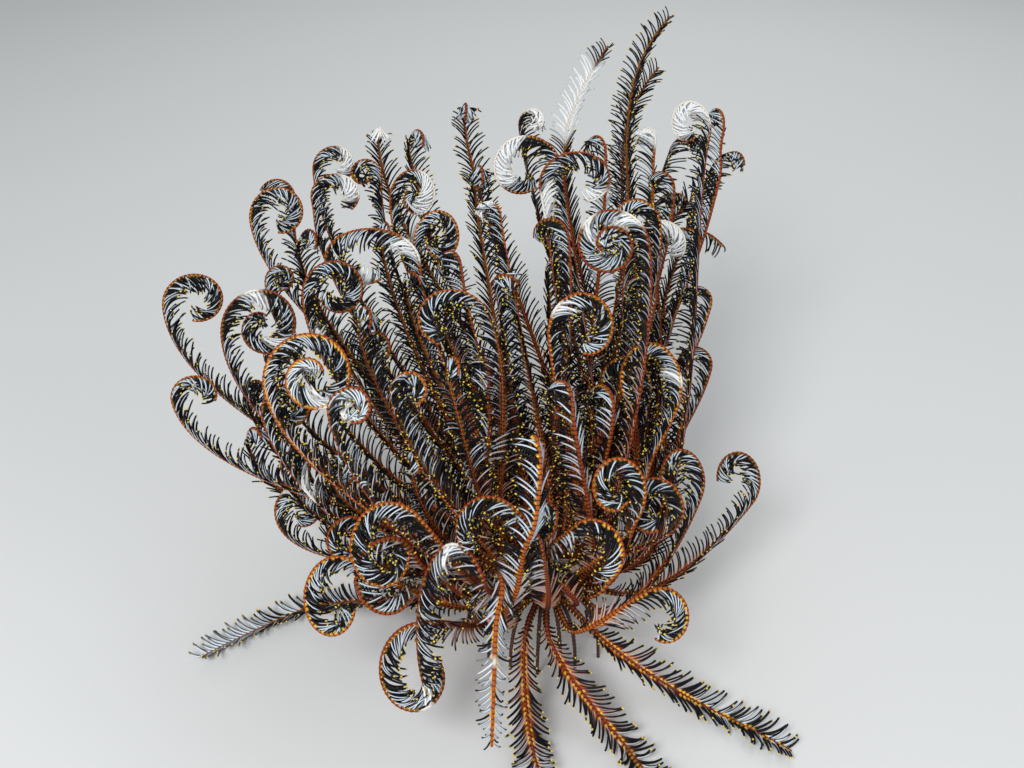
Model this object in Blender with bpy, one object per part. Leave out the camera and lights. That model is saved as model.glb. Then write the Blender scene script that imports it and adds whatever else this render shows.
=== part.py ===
"""A bottlebrush feather star, life size, still, standing on its cirri with its arms curled.

The calyx is a five-sided plate with a dome of cirri under it and a soft disc on top.
Five rays leave its sides and fork into short stubs, and one long arm stands on each stub.
Every arm carries a row of pinnules down each side, out to its tip.
"""
import math
import random

import bmesh
import bpy
import numpy as np
from mathutils import Vector, kdtree
from mathutils.bvhtree import BVHTree

MM = 0.001

# The animal's own frame: millimetres from the calyx centre, seen by a viewer who
# looks ahead and down at the calyx. "near" is nearer to that viewer.
VIEW_PITCH = math.radians(33)
VIEW_DISTANCE = 398.0
VIEW_ASIDE = 11.5
VIEW_LOW = 66.8
RIGHT = np.array([1.0, 0.0, 0.0])
AHEAD = np.array([0.0, math.cos(VIEW_PITCH), -math.sin(VIEW_PITCH)])
UPWARD = np.array([0.0, math.sin(VIEW_PITCH), math.cos(VIEW_PITCH)])

# Where the calyx stands in the finished model, whose origin is under the middle of it.
CALYX_HEIGHT = 30.0
CALYX_AT = np.array([28.4, -34.9, CALYX_HEIGHT])
FLOOR = -CALYX_HEIGHT

GAP = 0.3
RAYS = 5
PLATE_APOTHEM = 7.0
PLATE_HALF_HEIGHT = 3.2
DOME_RADIUS = 6.6
DISC_RADIUS = 8.6
DISC_HEIGHT = 7.0
RING_RADIUS = 12.0
RING_SPREAD = 60.0
STUB_SPREAD = 76.0
STUB_REACH = 11.0
STUB_RADIUS = 1.5
STEM_RADIUS = 2.9
TIER_LEAN = (24.0, 60.0, 96.0)
TIER_REACH = (0.6, 0.72, 0.88)
ARRIVING_REACH = 0.8
CROOK_DRIFT = 3.5

CIRRI = 14
CIRRUS_HALF_WIDTH = 1.0
CIRRUS_FOOT_RADIUS = 25.0

ARM_HALF_WIDTH = 1.35
ARM_TIP_HALF_WIDTH = 0.5
PATH_STEP = 2.5
TRUNK_STEP = 5.6
CROOK_STEP = 0.40
SHORTEST_STEP = 3.4
PINNULE_LENGTH = 8.6
TRUNK_SWEEP = math.radians(32)
CROOK_SWEEP = math.radians(4)
TRUNK_LEAN = math.radians(32)
CROOK_LEAN = math.radians(54)
CELL_MARGIN = 0.22
OWN_REACH = 24.0
ARM_CLEARANCE = 4.8

# Curled arms, in millimetres as the front view shows them: the centre of the crook
# (right, up, near), half its height, its width over its height, its turns (anticlockwise
# positive), the clock angle where the arm runs into it, how far its plane swings from
# facing the viewer, a straight tail after it, and the tier of stubs that the arm stands on.
CURLED_ARMS = {
    "upper_left_1": (-92.5, 126, -30, 11.5, 1.0, -0.8, 195, 0, 0, 2),
    "upper_left_2": (-73, 142.5, -48, 9.0, 1.0, -0.65, 190, 0, 0, 1),
    "upper_left_3": (-57, 151.5, -45, 6.0, 1.0, -0.5, 185, 70, 0, 1),
    "upper_left_4": (-62.5, 109.5, -2, 13.0, 1.45, 0.85, -5, 0, 0, 0),
    "upper_left_5": (-45, 132, -30, 12.0, 0.82, -1.1, 190, 0, 0, 1),
    "upper_left_6": (-36.5, 117, -15, 12.3, 0.8, -1.05, 190, 10, 0, 0),
    "upper_left_7": (-27, 160, -50, 6.0, 1.0, -0.6, 185, 75, 0, 1),
    "upper_left_8": (-72.5, 99, 8, 12.0, 1.0, -0.95, 190, 0, 0, 1),
    "upper_mid_1": (-7.5, 141.5, -28, 14.3, 1.0, 0.85, 0, 0, 0, 0),
    "upper_mid_2": (12, 137.5, -8, 11.8, 1.2, -0.75, 195, 0, 0, 0),
    "upper_mid_3": (22.5, 115, 26, 12.9, 1.0, 1.6, 0, 0, 0, 0),
    "upper_mid_4": (-4, 158, -52, 6.0, 1.0, -0.65, 190, 20, 0, 1),
    "upper_mid_5": (36, 152, -62, 5.5, 1.0, 0.6, -25, 60, 0, 1),
    "far_1": (127.5, 114.5, -72, 150.0, 1.0, -0.03, 157, 0, 0, 1),
    "far_2": (81, 161, -72, 60.0, 1.0, -0.055, 157, 0, 0, 1),
    "far_3": (77, 145, -84, 60.0, 1.0, -0.045, 155, 0, 0, 2),
    "upper_right_1": (50, 157, -42, 10.8, 0.82, 0.9, -20, 0, 0, 1),
    "upper_right_2": (45, 127, -66, 8.0, 1.0, -0.35, 160, 20, 0, 2),
    "upper_right_3": (41, 115, -30, 10.0, 1.0, -0.5, 150, 0, 0, 1),
    "left_1": (-121.5, 95.5, -8, 11.0, 1.12, -0.8, 190, 0, 0, 2),
    "left_2": (-98, 86.5, 3, 15.0, 1.0, -1.35, 190, 0, 0, 2),
    "left_3": (-121.5, 62.5, 12, 7.6, 1.17, -0.6, 200, 0, 0, 1),
    "left_4": (-81, 69, 38, 16.0, 1.0, -1.5, 205, 0, 0, 1),
    "left_5": (-89, 58, 22, 9.5, 1.0, -1.0, 200, 0, 0, 2),
    "low_left_1": (-85, 23, -8, 9.6, 1.0, -0.85, 200, 0, 0, 2),
    "low_left_2": (-55.5, 8.5, 62, 15.0, 0.84, 0.9, 40, 0, 0, 1),
    "low_left_3": (-73.5, -9, 38, 14.0, 0.76, 0.75, 75, 0, 0, 2),
    "low_left_4": (-44.5, -34, 54, 14.5, 0.86, 0.8, 95, 0, 0, 2),
    "middle_1": (-67, 58, 64, 7.5, 1.0, -1.1, 200, 0, 0, 1),
    "middle_2": (14, 86, 30, 13.0, 0.9, -0.8, 190, 0, 0, 0),
    "middle_3": (-20, 126, 12, 4.5, 1.0, 0.5, 0, 20, 0, 0),
    "middle_4": (-31, 71, 58, 5.0, 1.0, -0.6, 205, 50, 0, 0),
    "middle_5": (-46.5, 64, 66, 6.5, 1.0, -0.7, 195, 15, 0, 0),
    "middle_6": (-33.5, 89, 44, 9.5, 1.1, 0.5, 72, 0, 0, 0),
    "front_1": (-3, 43, 78, 5.0, 1.0, 0.5, 0, 80, 0, 2),
    "front_2": (-32.5, -22.5, 66, 29.0, 0.4, 0.47, 45, 10, 0, 0),
    "front_3": (-16, -22, 52, 19.0, 1.0, -0.28, 105, 90, 28, 1),
    "front_4": (17, 7, 66, 10.5, 1.0, -0.5, 120, 20, 0, 0),
    "front_5": (-20, 15, 72, 10.5, 1.0, 0.5, 45, 20, 0, 1),
    "front_6": (0, 18, 58, 6.5, 1.0, -0.6, 130, 20, 0, 1),
    "low_right_1": (41.5, -15, 42, 9.5, 0.9, -0.65, 115, 0, 0, 2),
    "right_1": (35.5, 67, 5, 16.5, 0.76, 0.75, -40, 0, 0, 1),
    "right_2": (27, 66, -16, 12.0, 0.88, 0.85, -20, 0, 0, 1),
    "right_3": (46, 33.5, 8, 12.0, 0.8, 0.75, -30, 0, 0, 2),
    "right_4": (66.5, 33.5, -12, 11.5, 0.8, 0.65, -50, 0, 0, 2),
    "right_5": (24.5, 30, 52, 11.0, 0.85, 0.95, -20, 0, 0, 0),
    "right_6": (37.5, 23, 36, 11.0, 0.88, 0.8, 0, 0, 0, 0),
}

# Arms whose ends lie on the floor: where they touch it (right, ahead of the calyx),
# the heading in degrees, the length that lies, and how far that length bends.
LYING_ARMS = {
    "floor_front_1": (-4, -55, -78, 56, 8),
    "floor_front_2": (27, -53, -62, 52, 8),
    "floor_front_3": (60, -38, -33, 24, -6),
    "floor_left_1": (-92, 10.5, -147, 37, 6),
    "floor_rear_1": (-66, 56, 140, 40, -15),
    "floor_rear_2": (8, 84, 88, 40, 12),
}
LYING_HEIGHT = 1.15
LYING_TIER = 2


def unit(vector):
    """The vector at length one."""
    return vector / np.linalg.norm(vector)


def seen(right, up, near):
    """The place of what the viewer sees this far right of, above and nearer than the calyx."""
    scale = (VIEW_DISTANCE - near) / VIEW_DISTANCE
    across = (right + VIEW_ASIDE) * scale - VIEW_ASIDE
    height = (up - VIEW_LOW) * scale + VIEW_LOW
    return across * RIGHT + height * UPWARD - near * AHEAD


def crook_point(name, t):
    """A point of an arm's crook: its radius shrinks and it drifts aside as it turns."""
    right, up, near, radius, width, turns, entry, swing, _, _ = CURLED_ARMS[name]
    across = math.cos(math.radians(swing)) * RIGHT - math.sin(math.radians(swing)) * AHEAD
    axis = unit(np.cross(across, UPWARD))
    angle = math.radians(entry) + 2 * math.pi * turns * t
    around = width * math.cos(angle) * across + math.sin(angle) * UPWARD
    spread = radius * (1 - crook_shrink(turns) * t)
    return seen(right, up, near) + spread * around + CROOK_DRIFT * abs(turns) * t * axis


def crook_shrink(turns):
    """The share of its radius that a crook loses by its end."""
    return min(0.72, 0.55 * abs(turns) ** 1.6)


def target(name):
    """What an arm reaches for: the start of its crook, or where it touches the floor."""
    if name in CURLED_ARMS:
        return crook_point(name, 0)
    return np.array([*LYING_ARMS[name][:2], FLOOR])


def tier_of(name):
    """The tier of stubs that an arm stands on: inner, middle or outer."""
    return CURLED_ARMS[name][-1] if name in CURLED_ARMS else LYING_TIER


def share_stubs():
    """Give each arm a ray, a tier and a place across the ray, in order round the calyx."""
    names = list(CURLED_ARMS) + list(LYING_ARMS)
    first_ray = -90 - 180 / RAYS
    bearing = {}
    for name in names:
        x, y, _ = target(name)
        bearing[name] = (math.degrees(math.atan2(y, x)) - first_ray) % 360
    order = sorted(names, key=bearing.get)
    stubs = {}
    for ray in range(RAYS):
        members = order[round(len(order) * ray / RAYS):round(len(order) * (ray + 1) / RAYS)]
        for tier in range(len(TIER_LEAN)):
            row = [name for name in members if tier_of(name) == tier]
            for column, name in enumerate(row):
                stubs[name] = (ray, tier, (column + 0.5) / len(row) - 0.5)
    return stubs


def stub_line(ray, tier, place):
    """The root, the end and the direction of one stub."""
    middle = -90 + 360 / RAYS * ray
    root_angle = math.radians(middle + place * RING_SPREAD)
    end_angle = math.radians(middle + place * STUB_SPREAD)
    lean = math.radians(TIER_LEAN[tier])
    root = RING_RADIUS * np.array([math.cos(root_angle), math.sin(root_angle), 0])
    outward = np.array([math.cos(end_angle), math.sin(end_angle), 0])
    direction = outward * math.sin(lean) + np.array([0, 0, math.cos(lean)])
    end = RING_RADIUS * outward + direction * STUB_REACH
    return root, end, direction


def trunk_points(start, direction, end, heading, tier):
    """A smooth trunk from a stub to where the arm curls or touches the floor."""
    gap = np.linalg.norm(end - start)
    leaving = TIER_REACH[tier] * gap * direction
    arriving = ARRIVING_REACH * gap * heading
    points = []
    for t in np.linspace(0, 1, 60):
        points.append((2 * t**3 - 3 * t**2 + 1) * start + (t**3 - 2 * t**2 + t) * leaving
                      + (3 * t**2 - 2 * t**3) * end + (t**3 - t**2) * arriving)
    return points


def even_points(points, step):
    """The same line with points at an even spacing near the given step."""
    points = np.array(points)
    lengths = np.linalg.norm(np.diff(points, axis=0), axis=1)
    along = np.concatenate([[0], np.cumsum(lengths)])
    stops = np.linspace(0, along[-1], max(8, round(along[-1] / step)) + 1)
    return np.stack([np.interp(stops, along, points[:, k]) for k in range(3)], axis=1)


def curled_path(name, stub):
    """A trunk, then its crook, then any straight tail."""
    turns, tail = CURLED_ARMS[name][5], CURLED_ARMS[name][8]
    _, end, direction = stub_line(*stub)
    heading = unit(crook_point(name, 0.01) - crook_point(name, 0))
    points = trunk_points(end + GAP * direction, direction, crook_point(name, 0), heading, stub[1])
    stops = np.linspace(0, 1, max(8, int(40 * abs(turns))))
    points += [crook_point(name, t) for t in stops[1:]]
    if tail:
        onward = unit(points[-1] - points[-2])
        points += [points[-1] + onward * tail * t for t in np.linspace(0.1, 1, 10)]
    return even_points(points, PATH_STEP)


def lying_path(name, stub):
    """A trunk down to the floor, then a slightly bent run along it."""
    x, y, heading, run, bend = LYING_ARMS[name]
    _, end, direction = stub_line(*stub)
    touch = np.array([x, y, FLOOR + LYING_HEIGHT])
    angle = math.radians(heading)
    onward = np.array([math.cos(angle), math.sin(angle), 0])
    points = trunk_points(end + GAP * direction, direction, touch, onward, LYING_TIER)
    for t in np.linspace(0.1, 1, 10):
        turned = angle + math.radians(bend) * t
        points.append(points[-1] + run * 0.1 * np.array([math.cos(turned), math.sin(turned), 0]))
    return even_points(points, PATH_STEP)


def settle(paths):
    """Arms that come too close give way to each other, and stay fixed at their roots."""
    names = list(paths)
    counts = [len(paths[name]) for name in names]
    points = np.concatenate([paths[name] for name in names]).astype(np.float32)
    owner = np.repeat(np.arange(len(names)), counts)
    place = np.concatenate([np.arange(count) for count in counts])
    freedom = np.clip((place - 1) / 8.0, 0, 1)[:, None].astype(np.float32)
    wanted = np.minimum(ARM_CLEARANCE, 3.4 + 0.16 * place).astype(np.float32)
    limit = np.minimum(wanted[:, None], wanted[None, :])
    apart = (owner[:, None] != owner[None, :]) | (np.abs(place[:, None] - place[None, :]) > 6)
    for _ in range(50):
        squares = (points**2).sum(1)
        distances = squares[:, None] + squares[None, :] - 2 * points @ points.T
        i, j = np.nonzero((distances < limit**2) & apart)
        if len(i) == 0:
            break
        gaps = points[i] - points[j]
        lengths = np.linalg.norm(gaps, axis=1) + 1e-6
        push = np.zeros_like(points)
        np.add.at(push, i, gaps * ((limit[i, j] - lengths) / lengths * 0.35)[:, None])
        push *= freedom
        for arm in range(len(names)):
            rows = np.nonzero(owner == arm)[0]
            move = push[rows]
            for _ in range(6):
                move[1:-1] = (move[:-2] + 2 * move[1:-1] + move[2:]) / 4
            push[rows] = move * 1.6
        points += np.clip(push, -1.2, 1.2) * freedom
        points[:, 2] = np.maximum(points[:, 2], FLOOR + LYING_HEIGHT)
    return {name: points[owner == arm].astype(float) for arm, name in enumerate(names)}


def arm_paths(stubs):
    """The settled centre line of every arm."""
    paths = {}
    for name in CURLED_ARMS:
        paths[name] = curled_path(name, stubs[name])
    for name in LYING_ARMS:
        paths[name] = lying_path(name, stubs[name])
    for path in paths.values():
        path[:, 2] = np.maximum(path[:, 2], FLOOR + LYING_HEIGHT)
    return settle(paths)


def crook_share(name, path):
    """The share of the arm's length at which its crook begins."""
    if name in LYING_ARMS:
        return 1.0
    _, _, _, radius, width, turns, _, _, tail, _ = CURLED_ARMS[name]
    crook = math.pi * abs(turns) * radius * (1 + width) * (1 - crook_shrink(turns) / 2) + tail
    length = np.linalg.norm(np.diff(path, axis=0), axis=1).sum()
    return 1 - crook / length


def arm_frames(name, path, stub):
    """Tangent, side and oral direction at each point of an arm, the oral side inside its crook."""
    tangents = np.gradient(path, axis=0)
    tangents /= np.linalg.norm(tangents, axis=1)[:, None]
    _, end, direction = stub_line(*stub)
    outward = unit(np.array([direction[0], direction[1], 0]))
    oral = np.array([0, 0, 1.0]) * math.hypot(*direction[:2]) - outward * direction[2]
    orals = []
    for tangent in tangents:
        oral = unit(oral - tangent * (oral @ tangent))
        orals.append(oral)
    orals = np.array(orals)
    begin = max(2, int(crook_share(name, path) * (len(path) - 1)))
    if curls(name):
        middle = min(begin + 4, len(path) - 3)
        inward = path[middle + 2] + path[middle - 2] - 2 * path[middle]
        inward -= tangents[middle] * (inward @ tangents[middle])
        side = np.cross(tangents[middle], orals[middle])
        twist = math.atan2(inward @ side, inward @ orals[middle])
    else:
        twist = 0.0
    share = np.clip(np.arange(len(path)) / begin, 0, 1)
    angles = twist * share * share * (3 - 2 * share)
    sides = np.cross(tangents, orals)
    turned = orals * np.cos(angles)[:, None] + sides * np.sin(angles)[:, None]
    return tangents, np.cross(tangents, turned), turned


def stations(path):
    """Places along an arm, closer together where it curls, as lengths from its root."""
    lengths = np.linalg.norm(np.diff(path, axis=0), axis=1)
    along = np.concatenate([[0], np.cumsum(lengths)])
    tangents = np.gradient(path, axis=0)
    tangents /= np.linalg.norm(tangents, axis=1)[:, None]
    bend = np.linalg.norm(np.gradient(tangents, axis=0), axis=1) / PATH_STEP
    steps = np.clip(CROOK_STEP / np.maximum(bend, 1e-3), SHORTEST_STEP, TRUNK_STEP)
    places = [0.0]
    while places[-1] < along[-1] - 0.6 * SHORTEST_STEP:
        places.append(places[-1] + float(np.interp(places[-1], along, steps)))
    return np.array(places) * along[-1] / places[-1], along


def curls(name):
    """Whether an arm ends in a crook of more than a slight bend."""
    return name in CURLED_ARMS and abs(CURLED_ARMS[name][5]) > 0.2


def half_width(share):
    """Half the arm's width at a share of its length."""
    return ARM_HALF_WIDTH + (ARM_TIP_HALF_WIDTH - ARM_HALF_WIDTH) * share**0.8


def pinnule_length(place, length):
    """A pinnule's length: short on the first joints, long on the arm, short at the tip."""
    rising = 0.35 + 0.65 * min(1, place / 18)
    falling = 0.5 + 0.5 * min(1, (length - place) / 20)
    return PINNULE_LENGTH * min(rising, falling)


def cell_tree(paths, others):
    """A search tree over the centre lines of all that a pinnule has to keep clear of."""
    entries = []
    for owner, path in enumerate(paths.values()):
        along = np.arange(len(path)) * PATH_STEP
        halves = (path[1:] + path[:-1]) / 2
        entries += [(owner, at, point) for at, point in zip(along, path)]
        entries += [(owner, at + PATH_STEP / 2, point) for at, point in zip(along, halves)]
    entries += [(-1, 0.0, point) for point in others]
    tree = kdtree.KDTree(len(entries))
    for index, (_, _, point) in enumerate(entries):
        tree.insert(point, index)
    tree.balance()
    return tree, entries


def is_clear(point, owner, place, tree, entries):
    """Whether a point is above the floor and inside its own arm's cell of the space."""
    if point[2] < FLOOR + 0.05:
        return False
    own = None
    for _, index, distance in tree.find_n(point, 26):
        who, at, _ = entries[index]
        if who == owner and abs(at - place) < OWN_REACH:
            own = distance if own is None else own
        elif own is None or distance - own < 2 * CELL_MARGIN:
            return False
        else:
            return True
    return True


PINNULE_TURNS = (0, 10, -10, 20, -20)
PINNULE_SHARES = (1.0, 0.85, 0.7, 0.56, 0.42, 0.3)


def pinnule_tip(root, frame, sign, curled, length, owner, place, tree, entries):
    """The longest clear pinnule from a root, leaning a little more or less where that helps."""
    tangent, side, oral = frame
    lean = TRUNK_LEAN + (CROOK_LEAN - TRUNK_LEAN) * curled
    sweep = TRUNK_SWEEP + (CROOK_SWEEP - TRUNK_SWEEP) * curled
    for share in PINNULE_SHARES:
        for turn in PINNULE_TURNS:
            leaning = lean + math.radians(turn)
            flat = math.cos(leaning) * side * sign + math.sin(leaning) * oral
            reach = math.cos(sweep) * flat + math.sin(sweep) * tangent
            reach *= length * share
            if all(is_clear(root + reach * t, owner, place, tree, entries) for t in (1, 0.7, 0.4)):
                return root + reach
    return None


def draw_back(mesh, tips):
    """Shorten the pinnules of one arm that cross each other, until none does."""
    for _ in range(14):
        tree = BVHTree.FromBMesh(mesh)
        mesh.faces.ensure_lookup_table()
        crossed = set()
        for first, second in tree.overlap(tree):
            one, other = mesh.faces[first], mesh.faces[second]
            if first < second and not set(one.verts) & set(other.verts):
                crossed |= (set(one.verts) | set(other.verts)) & set(tips)
        if not crossed:
            break
        for apex in crossed:
            apex.co = tips[apex] + (apex.co - tips[apex]) * 0.8


def arm_mesh(name, owner, path, stub, tree, entries, draw):
    """One arm: a three-sided loft along its path, with a pinnule drawn out of each side face."""
    frames = arm_frames(name, path, stub)
    places, along = stations(path)
    length = along[-1]
    crook = crook_share(name, path) * length
    rings = []
    tips = {}
    mesh = bmesh.new()
    for place in places[:-1]:
        centre, tangent, side, oral = (
            np.array([np.interp(place, along, values[:, k]) for k in range(3)])
            for values in (path, *frames))
        width = half_width(place / length)
        corners = (centre - 0.9 * width * oral, centre + width * side + 0.7 * width * oral,
                   centre - width * side + 0.7 * width * oral)
        ring = []
        for corner in corners:
            corner[2] = max(corner[2], FLOOR)
            ring.append(mesh.verts.new(corner))
        rings.append((ring, (unit(tangent), unit(side), unit(oral)), place))
    for (lower, frame, near_place), (upper, next_frame, far_place) in zip(rings, rings[1:]):
        mesh.faces.new((lower[1], lower[2], upper[2], upper[1]))
        middle_place = (near_place + far_place) / 2
        curled = min(1, max(0, (middle_place - crook + 15) / 20)) if curls(name) else 0
        for corner, sign in ((1, 1), (2, -1)):
            quad = (lower[0], lower[corner], upper[corner], upper[0])
            root = np.mean([vert.co for vert in quad], axis=0)
            reach = pinnule_length(middle_place, length) * draw.uniform(0.93, 1.04)
            tip = pinnule_tip(root, frame, sign, curled, reach, owner, middle_place, tree, entries)
            if tip is None:
                mesh.faces.new(quad)
                continue
            apex = mesh.verts.new(tip)
            tips[apex] = Vector(root)
            for first, second in zip(quad, quad[1:] + quad[:1]):
                mesh.faces.new((first, second, apex))
    end = mesh.verts.new(path[-1])
    mesh.faces.new(rings[0][0])
    last = rings[-1][0]
    for first, second in zip(last, last[1:] + last[:1]):
        mesh.faces.new((first, second, end))
    draw_back(mesh, tips)
    bmesh.ops.recalc_face_normals(mesh, faces=mesh.faces)
    return mesh


def rod(start, end, start_radius, end_radius, sides, turn=0.0):
    """A many-sided rod between two points, with flat ends."""
    start, end = Vector(start), Vector(end)
    mesh = bmesh.new()
    bmesh.ops.create_cone(mesh, cap_ends=True, segments=sides, radius1=start_radius,
                          radius2=end_radius, depth=(end - start).length)
    spin = (end - start).to_track_quat("Z", "Y").to_matrix().to_4x4()
    spin.translation = (start + end) / 2
    bmesh.ops.transform(mesh, matrix=spin, verts=mesh.verts)
    return mesh


def add_object(name, mesh, collection):
    """A named object from a mesh in the animal's millimetres, placed in the model in metres."""
    for vert in mesh.verts:
        vert.co = (vert.co + Vector(CALYX_AT)) * MM
        vert.co.z = max(vert.co.z, 0.0)
    data = bpy.data.meshes.new(name)
    mesh.to_mesh(data)
    mesh.free()
    created = bpy.data.objects.new(name, data)
    collection.objects.link(created)
    return created


def join_pieces(name, meshes, parts, helpers):
    """One closed body from several closed meshes: the first is the node, the rest fuse with it."""
    body = add_object(name, meshes[0], parts)
    pieces = [add_object(name + "_piece", mesh, helpers) for mesh in meshes[1:]]
    union = body.modifiers.new("fuse", "BOOLEAN")
    union.operation = "UNION"
    union.solver = "MANIFOLD"
    union.operand_type = "COLLECTION"
    union.collection = helpers
    graph = bpy.context.evaluated_depsgraph_get()
    fused = bpy.data.meshes.new_from_object(body.evaluated_get(graph))
    body.modifiers.clear()
    body.data = fused
    for piece in pieces:
        bpy.data.objects.remove(piece)
    keep_largest(body.data)
    return body


def keep_largest(data):
    """Leave only the largest closed surface of a mesh."""
    mesh = bmesh.new()
    mesh.from_mesh(data)
    bmesh.ops.remove_doubles(mesh, verts=mesh.verts, dist=0.000001)
    bmesh.ops.dissolve_degenerate(mesh, edges=mesh.edges, dist=0.000001)
    unseen = set(mesh.verts)
    islands = []
    while unseen:
        island = set()
        front = [unseen.pop()]
        while front:
            vert = front.pop()
            island.add(vert)
            for edge in vert.link_edges:
                other = edge.other_vert(vert)
                if other in unseen:
                    unseen.discard(other)
                    front.append(other)
        islands.append(island)
    islands.sort(key=len)
    bmesh.ops.delete(mesh, geom=[vert for island in islands[:-1] for vert in island], context="VERTS")
    mesh.to_mesh(data)
    mesh.free()


def ray_meshes(ray, stubs):
    """One ray: a stem off the calyx, a cross piece round the ring, and a stub for each arm."""
    middle = math.radians(-90 + 360 / RAYS * ray)
    outward = np.array([math.cos(middle), math.sin(middle), 0])
    lines = [stub_line(*stub) for stub in stubs.values() if stub[0] == ray]
    widest = max(abs(stub[2]) for stub in stubs.values() if stub[0] == ray) * RING_SPREAD
    meshes = [rod(outward * (PLATE_APOTHEM + GAP), outward * (RING_RADIUS + 1), STEM_RADIUS, 2.5, 6)]
    for sign in (-1, 1):
        angle = middle + math.radians(sign * (widest + 2))
        far = RING_RADIUS * np.array([math.cos(angle), math.sin(angle), 0])
        meshes.append(rod(outward * (RING_RADIUS - 0.4), far, 2.3, 1.9, 6))
    for root, end, _ in lines:
        meshes.append(rod(root, end, STUB_RADIUS + 0.15, STUB_RADIUS, 5))
    return meshes


def cirrus_lines():
    """The centre line of each cirrus: out of the dome, over, and straight down to the floor."""
    draw = random.Random(7)
    lines = []
    for index in range(CIRRI):
        angle = 2 * math.pi * (index + draw.uniform(-0.18, 0.18)) / CIRRI
        outward = np.array([math.cos(angle), math.sin(angle), 0])
        foot = CIRRUS_FOOT_RADIUS * draw.uniform(0.72, 0.9)
        high = -4.4 if index % 2 else -6.2
        knots = [(4.0, high), (foot * 0.62, high + 3.6), (foot, high - 4), (foot, FLOOR)]
        corners = [outward * r + np.array([0, 0, z]) for r, z in knots]
        line = []
        for t in np.linspace(0, 1, 6):
            u = 1 - t
            line.append(u**3 * corners[0] + 3 * u * u * t * corners[1]
                        + 3 * u * t * t * corners[2] + t**3 * corners[3])
        lines.append((np.array(line), angle))
    return lines


def cirrus_mesh(line, angle):
    """A four-sided tapering tube along a cirrus, cut flat on the floor."""
    side = np.array([-math.sin(angle), math.cos(angle), 0])
    mesh = bmesh.new()
    rings = []
    tangents = np.gradient(line, axis=0)
    tangents[-1] = (0, 0, -1)
    for index, centre in enumerate(line):
        tangent = unit(tangents[index])
        over = np.cross(tangent, side)
        width = CIRRUS_HALF_WIDTH * (1 - 0.3 * index / (len(line) - 1))
        corners = (side + over, side - over, -side - over, -side + over)
        rings.append([mesh.verts.new(centre + corner * width * 0.8) for corner in corners])
    for lower, upper in zip(rings, rings[1:]):
        for k in range(4):
            mesh.faces.new((lower[k], lower[k - 1], upper[k - 1], upper[k]))
    mesh.faces.new(rings[0])
    mesh.faces.new(rings[-1])
    bmesh.ops.recalc_face_normals(mesh, faces=mesh.faces)
    return mesh


def calyx_meshes():
    """The five-sided plate, the dome under it and the cirri that it stands on."""
    plate = bmesh.new()
    bmesh.ops.create_cone(plate, cap_ends=True, segments=5, radius1=PLATE_APOTHEM / math.cos(math.pi / 5),
                          radius2=PLATE_APOTHEM / math.cos(math.pi / 5), depth=2 * PLATE_HALF_HEIGHT)
    facing = min(plate.verts, key=lambda vert: -vert.co.x)
    start = math.atan2(facing.co.y, facing.co.x)
    for vert in plate.verts:
        angle = math.atan2(vert.co.y, vert.co.x) - start + math.radians(-90 + 180 / RAYS)
        reach = math.hypot(vert.co.x, vert.co.y)
        vert.co.x, vert.co.y = reach * math.cos(angle), reach * math.sin(angle)
    dome = bmesh.new()
    bmesh.ops.create_uvsphere(dome, u_segments=10, v_segments=6, radius=DOME_RADIUS)
    for vert in dome.verts:
        vert.co.z = vert.co.z * 0.8 - PLATE_HALF_HEIGHT
    return [plate, dome] + [cirrus_mesh(line, angle) for line, angle in cirrus_lines()]


def disc_mesh():
    """The soft disc over the plate: a low dome, flat underneath."""
    mesh = bmesh.new()
    bmesh.ops.create_uvsphere(mesh, u_segments=14, v_segments=8, radius=DISC_RADIUS)
    for vert in mesh.verts:
        vert.co.z = max(vert.co.z, 0) * DISC_HEIGHT / DISC_RADIUS + PLATE_HALF_HEIGHT + GAP
    bmesh.ops.remove_doubles(mesh, verts=mesh.verts, dist=0.01)
    flat = [face for face in mesh.faces if all(v.co.z < PLATE_HALF_HEIGHT + GAP + 0.01 for v in face.verts)]
    bmesh.ops.dissolve_faces(mesh, faces=flat)
    bmesh.ops.recalc_face_normals(mesh, faces=mesh.faces)
    return mesh


def add_material(node, colour, roughness):
    """A plain Principled material of the node's own."""
    material = bpy.data.materials.new(node.name)
    material.use_nodes = True
    shader = material.node_tree.nodes["Principled BSDF"]
    shader.inputs["Base Color"].default_value = (*colour, 1)
    shader.inputs["Roughness"].default_value = roughness
    shader.inputs["Metallic"].default_value = 0.0
    node.data.materials.clear()
    node.data.materials.append(material)


ARM_COLOUR = (0.20, 0.035, 0.012)
RAY_COLOUR = (0.09, 0.02, 0.01)
CALYX_COLOUR = (0.16, 0.07, 0.03)
DISC_COLOUR = (0.03, 0.014, 0.01)


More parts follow.
